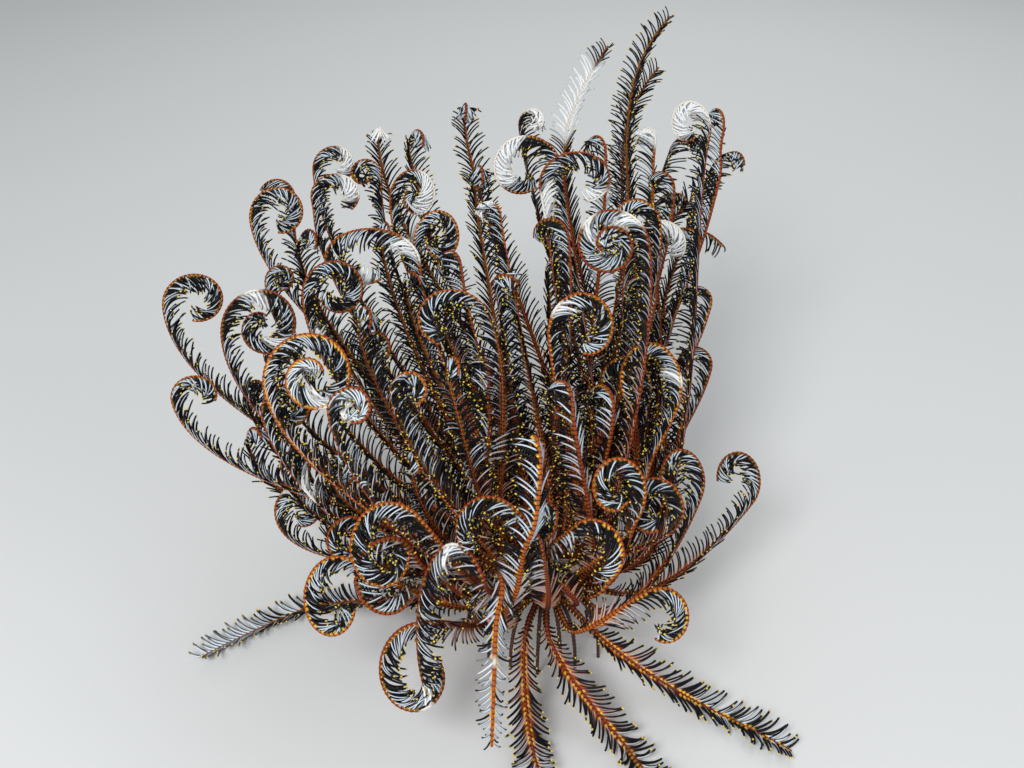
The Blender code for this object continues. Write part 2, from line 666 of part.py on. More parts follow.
def main():
    """Build every node of the animal."""
    for existing in list(bpy.data.objects):
        bpy.data.objects.remove(existing)
    parts = bpy.data.collections.new("bottlebrush_feather_star")
    helpers = bpy.data.collections.new("pieces_to_fuse")
    bpy.context.scene.collection.children.link(parts)
    bpy.context.scene.collection.children.link(helpers)

    stubs = share_stubs()
    paths = arm_paths(stubs)
    others = [point for line, _ in cirrus_lines() for point in line]
    for root, end, _ in (stub_line(*stub) for stub in stubs.values()):
        others += [root + (end - root) * t for t in (0, 0.3, 0.6, 0.85)]
    others += [np.array([0, 0, height]) for height in (-6, 0, 5)]
    tree, entries = cell_tree(paths, others)

    calyx = join_pieces("calyx", calyx_meshes(), parts, helpers)
    add_material(calyx, CALYX_COLOUR, 0.6)
    add_material(add_object("oral_disc", disc_mesh(), parts), DISC_COLOUR, 0.45)
    for ray in range(RAYS):
        node = join_pieces(f"ray_{ray + 1}", ray_meshes(ray, stubs), parts, helpers)
        add_material(node, RAY_COLOUR, 0.55)
    for owner, (name, path) in enumerate(paths.items()):
        draw = random.Random(owner)
        mesh = arm_mesh(name, owner, path, stubs[name], tree, entries, draw)
        add_material(add_object("arm_" + name, mesh, parts), ARM_COLOUR, 0.55)


main()
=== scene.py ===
import math
import random

import bpy
import numpy as np
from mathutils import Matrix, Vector


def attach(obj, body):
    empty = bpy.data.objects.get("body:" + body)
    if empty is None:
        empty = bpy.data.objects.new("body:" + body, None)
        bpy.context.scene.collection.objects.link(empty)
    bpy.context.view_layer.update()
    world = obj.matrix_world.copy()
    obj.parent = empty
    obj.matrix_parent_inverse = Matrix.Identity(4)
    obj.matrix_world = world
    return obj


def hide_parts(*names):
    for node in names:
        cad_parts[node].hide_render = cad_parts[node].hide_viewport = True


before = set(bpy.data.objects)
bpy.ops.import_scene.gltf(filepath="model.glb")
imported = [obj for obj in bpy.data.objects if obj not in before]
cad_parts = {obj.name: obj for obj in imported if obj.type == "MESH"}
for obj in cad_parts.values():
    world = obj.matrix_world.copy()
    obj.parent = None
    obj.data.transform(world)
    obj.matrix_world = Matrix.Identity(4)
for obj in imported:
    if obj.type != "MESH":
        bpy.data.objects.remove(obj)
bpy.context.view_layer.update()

bpy.ops.object.select_all(action="DESELECT")

# The view: an animal the size of a football, looked at by a viewer who kneels in front
# of it and looks down at it. Sizes are in millimetres from the middle of the calyx, and
# "near" is nearer to that viewer.
MM = 0.001
VIEW_PITCH = math.radians(33)
VIEW_DISTANCE = 398.0
VIEW_ASIDE = 11.5
VIEW_LOW = 66.8
VIEW_LENS = 40.0
RIGHT = np.array([1.0, 0.0, 0.0])
AHEAD = np.array([0.0, math.cos(VIEW_PITCH), -math.sin(VIEW_PITCH)])
UPWARD = np.array([0.0, math.sin(VIEW_PITCH), math.cos(VIEW_PITCH)])
CALYX_HEIGHT = 30.0
CALYX_AT = np.array([28.4, -34.9, CALYX_HEIGHT])
FLOOR = -CALYX_HEIGHT


def placed(points):
    """Points of the animal's millimetres as metres of the model."""
    return (np.asarray(points) + CALYX_AT) * MM


bpy.ops.object.camera_add(
    location=placed(VIEW_LOW * UPWARD - VIEW_ASIDE * RIGHT - VIEW_DISTANCE * AHEAD),
    rotation=(math.pi / 2 - VIEW_PITCH, 0, 0))
camera = bpy.context.object
camera.name = "viewer"
camera.data.lens = VIEW_LENS
camera.data.clip_start = 0.01
bpy.context.scene.camera = camera
bpy.context.scene.view_settings.view_transform = "Standard"

# The arms' centre lines: fifty-three arms grow in five groups off the rays, rise in an
# even bush and curl at their ends, but six droop and lie on the floor. Thinner arms stand
# among them, and a line gives way to its neighbours, as living arms do.
RAYS = 5
RAY_STEP = 360 / RAYS
FRONT_RAY = -90
GAP = 0.3
RING_RADIUS = 12.0
RING_SPREAD = 60.0
STUB_SPREAD = 76.0
STUB_REACH = 11.0
TIER_LEAN = (24.0, 60.0, 96.0)
TIER_REACH = (0.6, 0.72, 0.88)
ARRIVING_REACH = 0.8
CROOK_DRIFT = 3.5
CROOK_SHRINK = 0.55
SHRINK_POWER = 1.6
SHRINK_LIMIT = 0.72
SLIGHT_TURNS = 0.2
TRUNK_POINTS = 60
TURN_POINTS = 40
PATH_STEP = 2.5
LYING_HEIGHT = 1.15
LYING_TIER = 2
INNER_STUB_SPREAD = 0.8
ARM_CLEARANCE = 4.8
ROOT_CLEARANCE = 3.4
CLEARANCE_GROWTH = 0.16
SETTLING_ROUNDS = 50
SMOOTHINGS = 6
STIFF_STEPS = 8.0
OWN_STEPS = 6
PUSH_SHARE = 0.35
PUSH_GAIN = 1.6
PUSH_LIMIT = 1.2

# Curled arms, in millimetres as the front view shows them: the centre of the crook
# (right, up, near), half its height, its width over its height, its turns (anticlockwise
# positive), the clock angle where the arm runs into it, how far its plane swings from
# facing the viewer, a straight tail after it, and the tier of stubs that the arm stands on.
CURLED_ARMS = {
    "upper_left_1": (-92.5, 126, -30, 11.5, 1.0, -0.8, 195, 0, 0, 2),
    "upper_left_2": (-73, 142.5, -48, 9.0, 1.0, -0.65, 190, 0, 0, 1),
    "upper_left_3": (-57, 151.5, -45, 6.0, 1.0, -0.5, 185, 70, 0, 1),
    "upper_left_4": (-62.5, 109.5, -2, 13.0, 1.45, 0.85, -5, 0, 0, 0),
    "upper_left_5": (-45, 132, -30, 12.0, 0.82, -1.1, 190, 0, 0, 1),
    "upper_left_6": (-36.5, 117, -15, 12.3, 0.8, -1.05, 190, 10, 0, 0),
    "upper_left_7": (-27, 160, -50, 6.0, 1.0, -0.6, 185, 75, 0, 1),
    "upper_left_8": (-72.5, 99, 8, 12.0, 1.0, -0.95, 190, 0, 0, 1),
    "upper_mid_1": (-7.5, 141.5, -28, 14.3, 1.0, 0.85, 0, 0, 0, 0),
    "upper_mid_2": (12, 137.5, -8, 11.8, 1.2, -0.75, 195, 0, 0, 0),
    "upper_mid_3": (22.5, 115, 26, 12.9, 1.0, 1.6, 0, 0, 0, 0),
    "upper_mid_4": (-4, 158, -52, 6.0, 1.0, -0.65, 190, 20, 0, 1),
    "upper_mid_5": (36, 152, -62, 5.5, 1.0, 0.6, -25, 60, 0, 1),
    "far_1": (127.5, 114.5, -72, 150.0, 1.0, -0.03, 157, 0, 0, 1),
    "far_2": (81, 161, -72, 60.0, 1.0, -0.055, 157, 0, 0, 1),
    "far_3": (77, 145, -84, 60.0, 1.0, -0.045, 155, 0, 0, 2),
    "upper_right_1": (50, 157, -42, 10.8, 0.82, 0.9, -20, 0, 0, 1),
    "upper_right_2": (45, 127, -66, 8.0, 1.0, -0.35, 160, 20, 0, 2),
    "upper_right_3": (41, 115, -30, 10.0, 1.0, -0.5, 150, 0, 0, 1),
    "left_1": (-121.5, 95.5, -8, 11.0, 1.12, -0.8, 190, 0, 0, 2),
    "left_2": (-98, 86.5, 3, 15.0, 1.0, -1.35, 190, 0, 0, 2),
    "left_3": (-121.5, 62.5, 12, 7.6, 1.17, -0.6, 200, 0, 0, 1),
    "left_4": (-81, 69, 38, 16.0, 1.0, -1.5, 205, 0, 0, 1),
    "left_5": (-89, 58, 22, 9.5, 1.0, -1.0, 200, 0, 0, 2),
    "low_left_1": (-85, 23, -8, 9.6, 1.0, -0.85, 200, 0, 0, 2),
    "low_left_2": (-55.5, 8.5, 62, 15.0, 0.84, 0.9, 40, 0, 0, 1),
    "low_left_3": (-73.5, -9, 38, 14.0, 0.76, 0.75, 75, 0, 0, 2),
    "low_left_4": (-44.5, -34, 54, 14.5, 0.86, 0.8, 95, 0, 0, 2),
    "middle_1": (-67, 58, 64, 7.5, 1.0, -1.1, 200, 0, 0, 1),
    "middle_2": (14, 86, 30, 13.0, 0.9, -0.8, 190, 0, 0, 0),
    "middle_3": (-20, 126, 12, 4.5, 1.0, 0.5, 0, 20, 0, 0),
    "middle_4": (-31, 71, 58, 5.0, 1.0, -0.6, 205, 50, 0, 0),
    "middle_5": (-46.5, 64, 66, 6.5, 1.0, -0.7, 195, 15, 0, 0),
    "middle_6": (-33.5, 89, 44, 9.5, 1.1, 0.5, 72, 0, 0, 0),
    "front_1": (-3, 43, 78, 5.0, 1.0, 0.5, 0, 80, 0, 2),
    "front_2": (-32.5, -22.5, 66, 29.0, 0.4, 0.47, 45, 10, 0, 0),
    "front_3": (-16, -22, 52, 19.0, 1.0, -0.28, 105, 90, 28, 1),
    "front_4": (17, 7, 66, 10.5, 1.0, -0.5, 120, 20, 0, 0),
    "front_5": (-20, 15, 72, 10.5, 1.0, 0.5, 45, 20, 0, 1),
    "front_6": (0, 18, 58, 6.5, 1.0, -0.6, 130, 20, 0, 1),
    "low_right_1": (41.5, -15, 42, 9.5, 0.9, -0.65, 115, 0, 0, 2),
    "right_1": (35.5, 67, 5, 16.5, 0.76, 0.75, -40, 0, 0, 1),
    "right_2": (27, 66, -16, 12.0, 0.88, 0.85, -20, 0, 0, 1),
    "right_3": (46, 33.5, 8, 12.0, 0.8, 0.75, -30, 0, 0, 2),
    "right_4": (66.5, 33.5, -12, 11.5, 0.8, 0.65, -50, 0, 0, 2),
    "right_5": (24.5, 30, 52, 11.0, 0.85, 0.95, -20, 0, 0, 0),
    "right_6": (37.5, 23, 36, 11.0, 0.88, 0.8, 0, 0, 0, 0),
}

# Arms whose ends lie on the floor: where they touch it (right, ahead of the calyx),
# the heading in degrees, the length that lies, and how far that length bends.
LYING_ARMS = {
    "floor_front_1": (-4, -55, -78, 56, 8),
    "floor_front_2": (27, -53, -62, 52, 8),
    "floor_front_3": (60, -38, -33, 24, -6),
    "floor_left_1": (-92, 10.5, -147, 37, 6),
    "floor_rear_1": (-66, 56, 140, 40, -15),
    "floor_rear_2": (8, 84, 88, 40, 12),
}

# Thinner arms of the bush's inside and back, which stand between the others.
INNER_ARMS = {
    "inner_1": (-72.5, 132, -27, 9.5, 1.1, -0.65, 190, 0, 0, 1),
    "inner_2": (-63, 140, -42, 6.5, 1.0, 0.9, -10, 0, 0, 1),
    "inner_3": (-94, 131, -58, 9.0, 1.0, 0.45, -15, 20, 0, 2),
    "inner_4": (-92, 103, -20, 6.0, 1.0, -0.8, 190, 0, 0, 2),
    "inner_5": (-44, 150, -52, 7.0, 1.0, -0.6, 200, 50, 0, 1),
    "inner_6": (-22, 138, -30, 6.0, 1.0, -0.6, 185, 60, 0, 0),
    "inner_7": (60, 158, -58, 6.0, 1.0, 0.5, -10, 70, 0, 1),
    "inner_8": (65, 142, -52, 7.0, 1.0, -0.4, 150, 30, 0, 2),
    "inner_9": (40, 135, -45, 7.0, 1.0, 0.4, -10, 40, 0, 1),
    "inner_10": (50, 147, -62, 8.0, 1.0, -0.4, 160, 30, 0, 1),
    "inner_11": (31, 123, 8, 9.0, 1.0, 0.9, 0, 0, 0, 0),
    "inner_12": (-54, -2, 34, 14.0, 0.9, 0.75, 60, 0, 0, 2),
    "inner_13": (-68, 11.5, 20, 8.5, 1.0, 0.6, 60, 0, 0, 2),
    "inner_14": (2, 118, -5, 7.0, 1.0, 0.5, 0, 30, 0, 0),
    "inner_15": (-12, 100, 12, 6.0, 1.0, -0.5, 190, 40, 0, 0),
    "inner_16": (-55, 118, -22, 6.0, 1.0, -0.5, 185, 60, 0, 1),
    "inner_17": (6, 62, 40, 6.0, 1.0, 0.6, -10, 60, 0, 0),
    "inner_18": (-62, 88, 24, 6.0, 1.0, -0.6, 190, 50, 0, 1),
    "inner_19": (52, 96, -30, 7.0, 1.0, 0.5, -20, 30, 0, 1),
    "inner_20": (52, 74, -38, 7.0, 1.0, 0.6, -20, 20, 0, 2),
    "inner_21": (-86, 38, 0, 7.0, 1.0, -0.6, 200, 20, 0, 2),
    "inner_22": (-70, 36, 20, 7.0, 1.0, -0.7, 190, 30, 0, 1),
    "inner_23": (-58, 78, 8, 7.5, 1.0, -0.6, 195, 30, 0, 1),
    "inner_24": (-45, 100, 0, 6.5, 1.0, -0.5, 190, 50, 0, 0),
    "inner_25": (-33, 108, -8, 6.0, 1.0, 0.5, 0, 50, 0, 0),
    "inner_26": (-72, 18, -4, 7.0, 1.0, -0.6, 200, 30, 0, 2),
    "inner_27": (-22, 70, 22, 6.0, 1.0, 0.5, 0, 60, 0, 0),
    "inner_28": (-100, 62, -12, 7.0, 1.0, -0.6, 200, 30, 0, 2),
    "inner_29": (-100, 46, -8, 7.0, 1.0, -0.5, 200, 50, 0, 2),
    "inner_30": (-44, 38, 40, 6.0, 1.0, -0.6, 190, 60, 0, 1),
    "inner_31": (33, 98, -20, 7.0, 1.0, 0.6, -20, 30, 0, 1),
    "inner_32": (20, 60, 12, 7.0, 1.0, 0.6, -10, 60, 0, 0),
    "inner_33": (5, 106, -16, 6.0, 1.0, -0.5, 190, 40, 0, 0),
    "inner_34": (-92, 78, -20, 7.5, 1.0, -0.7, 200, 20, 0, 2),
    "inner_35": (18, 148, -44, 6.5, 1.0, 0.5, -10, 60, 0, 1),
    "inner_36": (-82, 115, -24, 7.0, 1.0, -0.6, 195, 40, 0, 1),
    "inner_37": (50, 104, -60, 20.0, 1.0, -0.22, 120, 0, 0, 2),
    "inner_38": (80, 100, -66, 50.0, 1.0, -0.06, 140, 0, 0, 2),
}
CROOKS = {**CURLED_ARMS, **INNER_ARMS}


def unit(vector):
    """The vector at length one."""
    return vector / np.linalg.norm(vector)


def seen(right, up, near):
    """The place of what the viewer sees this far right of, above and nearer than the calyx."""
    scale = (VIEW_DISTANCE - near) / VIEW_DISTANCE
    across = (right + VIEW_ASIDE) * scale - VIEW_ASIDE
    height = (up - VIEW_LOW) * scale + VIEW_LOW
    return across * RIGHT + height * UPWARD - near * AHEAD


def crook_point(name, t):
    """A point of an arm's crook: its radius shrinks and it drifts aside as it turns."""
    right, up, near, radius, width, turns, entry, swing, _, _ = CROOKS[name]
    across = math.cos(math.radians(swing)) * RIGHT - math.sin(math.radians(swing)) * AHEAD
    axis = unit(np.cross(across, UPWARD))
    angle = math.radians(entry) + 2 * math.pi * turns * t
    around = width * math.cos(angle) * across + math.sin(angle) * UPWARD
    spread = radius * (1 - crook_shrink(turns) * t)
    return seen(right, up, near) + spread * around + CROOK_DRIFT * abs(turns) * t * axis


def crook_shrink(turns):
    """The share of its radius that a crook loses by its end."""
    return min(SHRINK_LIMIT, CROOK_SHRINK * abs(turns) ** SHRINK_POWER)


def target(name):
    """What an arm reaches for: the start of its crook, or where it touches the floor."""
    if name in CROOKS:
        return crook_point(name, 0)
    return np.array([*LYING_ARMS[name][:2], FLOOR])


def tier_of(name):
    """The tier of stubs that an arm stands on: inner, middle or outer."""
    return CROOKS[name][-1] if name in CROOKS else LYING_TIER


def bearing(name):
    """An arm's bearing round the calyx, in ray steps from the edge of the front ray."""
    x, y, _ = target(name)
    return (math.degrees(math.atan2(y, x)) - FRONT_RAY + RAY_STEP / 2) % 360 / RAY_STEP


def share_stubs():
    """Give each arm a ray, a tier and a place across the ray, in order round the calyx."""
    order = sorted([*CURLED_ARMS, *LYING_ARMS], key=bearing)
    stubs = {}
    for ray in range(RAYS):
        members = order[round(len(order) * ray / RAYS):round(len(order) * (ray + 1) / RAYS)]
        for tier in range(len(TIER_LEAN)):
            row = [name for name in members if tier_of(name) == tier]
            for column, name in enumerate(row):
                stubs[name] = (ray, tier, (column + 0.5) / len(row) - 0.5)
    return stubs


def stub_line(ray, tier, place):
    """The root, the end and the direction of one stub."""
    middle = FRONT_RAY + RAY_STEP * ray
    root_angle = math.radians(middle + place * RING_SPREAD)
    end_angle = math.radians(middle + place * STUB_SPREAD)
    lean = math.radians(TIER_LEAN[tier])
    root = RING_RADIUS * np.array([math.cos(root_angle), math.sin(root_angle), 0])
    outward = np.array([math.cos(end_angle), math.sin(end_angle), 0])
    direction = outward * math.sin(lean) + np.array([0, 0, math.cos(lean)])
    end = RING_RADIUS * outward + direction * STUB_REACH
    return root, end, direction


def trunk_points(start, direction, end, heading, tier):
    """A smooth trunk from a stub to where the arm curls or touches the floor."""
    gap = np.linalg.norm(end - start)
    leaving = TIER_REACH[tier] * gap * direction
    arriving = ARRIVING_REACH * gap * heading
    points = []
    for t in np.linspace(0, 1, TRUNK_POINTS):
        points.append((2 * t**3 - 3 * t**2 + 1) * start + (t**3 - 2 * t**2 + t) * leaving
                      + (3 * t**2 - 2 * t**3) * end + (t**3 - t**2) * arriving)
    return points


def even_points(points, step):
    """The same line with points at an even spacing near the given step."""
    points = np.array(points)
    lengths = np.linalg.norm(np.diff(points, axis=0), axis=1)
    along = np.concatenate([[0], np.cumsum(lengths)])
    stops = np.linspace(0, along[-1], max(8, round(along[-1] / step)) + 1)
    return np.stack([np.interp(stops, along, points[:, k]) for k in range(3)], axis=1)


def curled_path(name, stub):
    """A trunk, then its crook, then any straight tail."""
    turns, tail = CROOKS[name][5], CROOKS[name][8]
    _, end, direction = stub_line(*stub)
    heading = unit(crook_point(name, 0.01) - crook_point(name, 0))
    points = trunk_points(end + GAP * direction, direction, crook_point(name, 0), heading, stub[1])
    stops = np.linspace(0, 1, max(8, int(TURN_POINTS * abs(turns))))
    points += [crook_point(name, t) for t in stops[1:]]
    if tail:
        onward = unit(points[-1] - points[-2])
        points += [points[-1] + onward * tail * t for t in np.linspace(0.1, 1, 10)]
    return even_points(points, PATH_STEP)


def lying_path(name, stub):
    """A trunk down to the floor, then a slightly bent run along it."""
    x, y, heading, run, bend = LYING_ARMS[name]
    _, end, direction = stub_line(*stub)
    touch = np.array([x, y, FLOOR + LYING_HEIGHT])
    angle = math.radians(heading)
    onward = np.array([math.cos(angle), math.sin(angle), 0])
    points = trunk_points(end + GAP * direction, direction, touch, onward, LYING_TIER)
    for t in np.linspace(0.1, 1, 10):
        turned = angle + math.radians(bend) * t
        points.append(points[-1] + run * 0.1 * np.array([math.cos(turned), math.sin(turned), 0]))
    return even_points(points, PATH_STEP)


def settle(paths, still=()):
    """Arms that come too close give way to each other and to the still ones."""
    names = list(paths)
    counts = [len(paths[name]) for name in names]
    points = np.concatenate([paths[name] for name in names]).astype(np.float32)
    owner = np.repeat(np.arange(len(names)), counts)
    place = np.concatenate([np.arange(count) for count in counts])
    freedom = np.clip((place - 1) / STIFF_STEPS, 0, 1)[:, None].astype(np.float32)
    freedom *= ~np.isin(owner, [names.index(name) for name in still])[:, None]
    wanted = np.minimum(ARM_CLEARANCE, ROOT_CLEARANCE + CLEARANCE_GROWTH * place).astype(np.float32)
    limit = np.minimum(wanted[:, None], wanted[None, :])
    apart = (owner[:, None] != owner[None, :]) | (np.abs(place[:, None] - place[None, :]) > OWN_STEPS)
    for _ in range(SETTLING_ROUNDS):
        squares = (points**2).sum(1)
        distances = squares[:, None] + squares[None, :] - 2 * points @ points.T
        i, j = np.nonzero((distances < limit**2) & apart)
        if len(i) == 0:
            break
        gaps = points[i] - points[j]
        lengths = np.linalg.norm(gaps, axis=1) + 1e-6
        push = np.zeros_like(points)
        np.add.at(push, i, gaps * ((limit[i, j] - lengths) / lengths * PUSH_SHARE)[:, None])
        push *= freedom
        for arm in range(len(names)):
            rows = np.nonzero(owner == arm)[0]
            move = push[rows]
            for _ in range(SMOOTHINGS):
                move[1:-1] = (move[:-2] + 2 * move[1:-1] + move[2:]) / 4
            push[rows] = move * PUSH_GAIN
        points += np.clip(push, -PUSH_LIMIT, PUSH_LIMIT) * freedom
        points[:, 2] = np.maximum(points[:, 2], FLOOR + LYING_HEIGHT)
    return {name: points[owner == arm].astype(float) for arm, name in enumerate(names)}


def arm_paths(stubs):
    """The settled centre line of every arm."""
    paths = {}
    for name in CURLED_ARMS:
        paths[name] = curled_path(name, stubs[name])
    for name in LYING_ARMS:
        paths[name] = lying_path(name, stubs[name])
    for path in paths.values():
        path[:, 2] = np.maximum(path[:, 2], FLOOR + LYING_HEIGHT)
    return settle(paths)


def crook_share(name, path):
    """The share of the arm's length at which its crook begins."""
    if name in LYING_ARMS:
        return 1.0
    _, _, _, radius, width, turns, _, _, tail, _ = CROOKS[name]
    crook = math.pi * abs(turns) * radius * (1 + width) * (1 - crook_shrink(turns) / 2) + tail
    length = np.linalg.norm(np.diff(path, axis=0), axis=1).sum()
    return 1 - crook / length


def oral_directions(name, path, stub):
    """The oral direction at each point of an arm: up at its root, and inwards in its crook."""
    tangents = np.gradient(path, axis=0)
    tangents /= np.linalg.norm(tangents, axis=1)[:, None]
    _, end, direction = stub_line(*stub)
    outward = unit(np.array([direction[0], direction[1], 0]))
    oral = np.array([0, 0, 1.0]) * math.hypot(*direction[:2]) - outward * direction[2]
    orals = []
    for tangent in tangents:
        oral = unit(oral - tangent * (oral @ tangent))
        orals.append(oral)
    orals = np.array(orals)
    begin = max(2, int(crook_share(name, path) * (len(path) - 1)))
    if curls(name):
        middle = min(begin + 4, len(path) - 3)
        inward = path[middle + 2] + path[middle - 2] - 2 * path[middle]
        inward -= tangents[middle] * (inward @ tangents[middle])
        side = np.cross(tangents[middle], orals[middle])
        twist = math.atan2(inward @ side, inward @ orals[middle])
    else:
        twist = 0.0
    share = np.clip(np.arange(len(path)) / begin, 0, 1)
    angles = twist * share * share * (3 - 2 * share)
    sides = np.cross(tangents, orals)
    return orals * np.cos(angles)[:, None] + sides * np.sin(angles)[:, None]


def curls(name):
    """Whether an arm ends in a crook of more than a slight bend."""
    return name in CROOKS and abs(CROOKS[name][5]) > SLIGHT_TURNS


stubs = share_stubs()
paths = arm_paths(stubs)
for name in INNER_ARMS:
    stubs[name] = (int(bearing(name)), tier_of(name), INNER_STUB_SPREAD * (bearing(name) % 1 - 0.5))
inner_paths = {name: curled_path(name, stubs[name]) for name in INNER_ARMS}
paths = settle({**paths, **inner_paths}, still=list(paths))

# The skin: one thin skin covers the arms from the rays to their tips. Each arm is a row
# of small ossicles, wider at their outer ends, so the skin is lofted ring by ring along
# the centre line, two rings to an ossicle, and is closed at the tip.
OSSICLE = 1.55
OSSICLE_RINGS = np.array([0.12, 0.9])
ARM_SIDES = 8
SKIN_HALF_WIDTH = 0.87
SKIN_TIP_HALF_WIDTH = 0.42
STUB_HALF_WIDTH = 1.25
STEM_HALF_WIDTH = 2.3
RING_HALF_WIDTH = 1.8
NARROW = 0.84
WIDE = 1.08
RAY_NARROW = 0.94
RAY_WIDE = 1.03
RAY_START = 7.4
RAY_SIDES = 12
TANGENT_REACH = 0.2


def glide(values, along, places):
    """Values read smoothly between the points of a line."""
    slopes = np.gradient(values, along, axis=0)
    near = np.clip(np.searchsorted(along, places, side="right") - 1, 0, len(along) - 2)
    span = (along[near + 1] - along[near])[:, None]
    t = (places - along[near])[:, None] / span
    return ((2 * t**3 - 3 * t**2 + 1) * values[near] + (t**3 - 2 * t**2 + t) * span * slopes[near]
            + (3 * t**2 - 2 * t**3) * values[near + 1] + (t**3 - t**2) * span * slopes[near + 1])


def units(vectors):
    """Each row at length one."""
    return vectors / np.linalg.norm(vectors, axis=-1, keepdims=True)


def frames_at(line, orals, along, places):
    """Centre, tangent, side and oral direction at places along a line."""
    centres = glide(line, along, places)
    before = glide(line, along, places - TANGENT_REACH)
    tangents = units(glide(line, along, places + TANGENT_REACH) - before)
    facing = glide(orals, along, places)
    facing = units(facing - tangents * (facing * tangents).sum(1)[:, None])
    return centres, tangents, np.cross(tangents, facing), facing


def smooth(values, low, high):
    """A soft step from 0 to 1 between two values."""
    t = np.clip((values - low) / (high - low), 0, 1)
    return t * t * (3 - 2 * t)


def tube_faces(rows, around):
    """Faces of a closed tube, and each corner's share along it and round it."""
    row, turn = np.meshgrid(np.arange(rows - 1), np.arange(around), indexing="ij")
    corners = [(row, turn), (row, turn + 1), (row + 1, turn + 1), (row + 1, turn)]
    walls = np.stack([r * around + c % around for r, c in corners], -1).reshape(-1, 4)
    places = np.stack([np.stack([r / (rows - 1), c / around], -1) for r, c in corners], 2)
    turn = np.arange(around)
    after = (turn + 1) % around
    last = (rows - 1) * around
    fans = np.concatenate([np.stack([np.full(around, rows * around), after, turn], -1),
                           np.stack([np.full(around, rows * around + 1), last + turn, last + after], -1)])
    tips = [np.stack([np.full(3 * around, end), np.repeat(turn / around, 3)], -1) for end in (0, 1)]
    return walls, places.reshape(-1, 2), fans, np.concatenate(tips)


class Weaving:
    """Tubes gathered into one mesh, with the marks that its material reads."""

    def __init__(self):
        self.points, self.walls, self.fans = [], [], []
        self.wall_places, self.fan_places = [], []
        self.marks = {}
        self.count = 0

    def add(self, points, walls, wall_places, fans, fan_places, **marks):
        """Add faces on points, with their corners' places on the unwrap and each point's marks."""
        self.points.append(points)
        self.walls.append(walls + self.count)
        self.fans.append(fans + self.count)
        self.wall_places.append(wall_places)
        self.fan_places.append(fan_places)
        for mark, values in marks.items():
            self.marks.setdefault(mark, []).append(np.broadcast_to(values, len(points)))
        self.count += len(points)

    def add_tube(self, frames, widths, around, patch, **marks):
        """Add a closed tube whose rings follow frames, laid on a patch (left, low, right, high)."""
        centres, tangents, sides, facing = frames
        angles = 2 * math.pi * np.arange(around) / around
        spokes = (np.cos(angles)[None, :, None] * facing[:, None, :]
                  + np.sin(angles)[None, :, None] * sides[:, None, :])
        rings = centres[:, None, :] + spokes * widths[:, None, None]
        ends = np.stack([centres[0], centres[-1] + tangents[-1] * widths[-1] * 0.6])
        points = np.concatenate([rings.reshape(-1, 3), ends])
        walls, wall_places, fans, fan_places = tube_faces(len(centres), around)
        low, size = np.array(patch[:2]), np.array(patch[2:]) - np.array(patch[:2])
        spread = {}
        for mark, values in marks.items():
            values = np.broadcast_to(values, len(centres))
            spread[mark] = np.concatenate([np.repeat(values, around), values[[0, -1]]])
        spread["aboral"] = np.concatenate([np.tile(-np.cos(angles), len(centres)), [0, 0]])
        self.add(points, walls, low + wall_places * size, fans, low + fan_places * size, **spread)

    def piece(self, name):
        """The finished object, at its place in the model."""
        points = placed(np.concatenate(self.points))
        points[:, 2] = np.maximum(points[:, 2], 0)
        faces = np.concatenate(self.walls).tolist() + np.concatenate(self.fans).tolist()
        mesh = bpy.data.meshes.new(name)
        mesh.from_pydata(points.tolist(), [], faces)
        for mark, values in self.marks.items():
            layer = mesh.attributes.new(mark, "FLOAT", "POINT")
            layer.data.foreach_set("value", np.concatenate(values).astype(np.float32))
        places = mesh.uv_layers.new(name="OFBake")
        corners = np.concatenate(self.wall_places + self.fan_places)
        places.data.foreach_set("uv", corners.astype(np.float32).ravel())
        mesh.shade_smooth()
        made = bpy.data.objects.new(name, mesh)
        bpy.context.scene.collection.objects.link(made)
        return made


def arm_line(name):
    """An arm's line from its root on the ray, its oral directions, and lengths from the stub's end."""
    path = paths[name]
    facing = oral_directions(name, path, stubs[name])
    root, end, _ = stub_line(*stubs[name])
    line = np.concatenate([[root, (root + end) / 2], path])
    along = np.concatenate([[0], np.cumsum(np.linalg.norm(np.diff(line, axis=0), axis=1))])
    return line, np.concatenate([facing[:1], facing[:1], facing]), along - along[2]


def skin_half_width(share):
    """Half the skin's width at shares of an arm's length."""
    return SKIN_HALF_WIDTH + (SKIN_TIP_HALF_WIDTH - SKIN_HALF_WIDTH) * share**1.6


PALE_BANDS = {
    "upper_left_2": [(0.92, 0.98)],
    "upper_left_3": [(0.65, 0.69), (0.93, 1)],
    "upper_left_4": [(0.60, 0.66), (0.93, 0.97)],
    "upper_left_5": [(0.82, 0.94)],
    "upper_left_8": [(0.55, 0.58)],
    "upper_mid_1": [(0.80, 0.93)],
    "upper_mid_2": [(0.63, 0.70), (0.95, 1)],
    "upper_mid_3": [(0.60, 0.64), (0.69, 0.72)],
    "upper_mid_4": [(0.92, 1)],
    "upper_mid_5": [(0.90, 1)],
    "far_1": [(0.79, 0.95)],
    "upper_right_1": [(0.83, 0.97)],
    "upper_right_2": [(0.79, 0.85)],
    "upper_right_3": [(0.86, 1)],
    "left_2": [(0.69, 0.72), (0.83, 0.86)],
    "left_4": [(0.79, 0.83)],
    "left_5": [(0.46, 0.51)],
    "low_left_1": [(0.74, 0.84)],
    "low_left_4": [(0.83, 0.87)],
    "middle_1": [(0.96, 1)],
    "middle_2": [(0.66, 0.70)],
    "middle_3": [(0.93, 1)],
    "front_3": [(0.735, 0.755)],
    "front_2": [(0.58, 0.62)],
    "right_1": [(0.63, 0.66)],
    "inner_1": [(0.90, 0.97)],
    "inner_11": [(0.88, 1)],
}
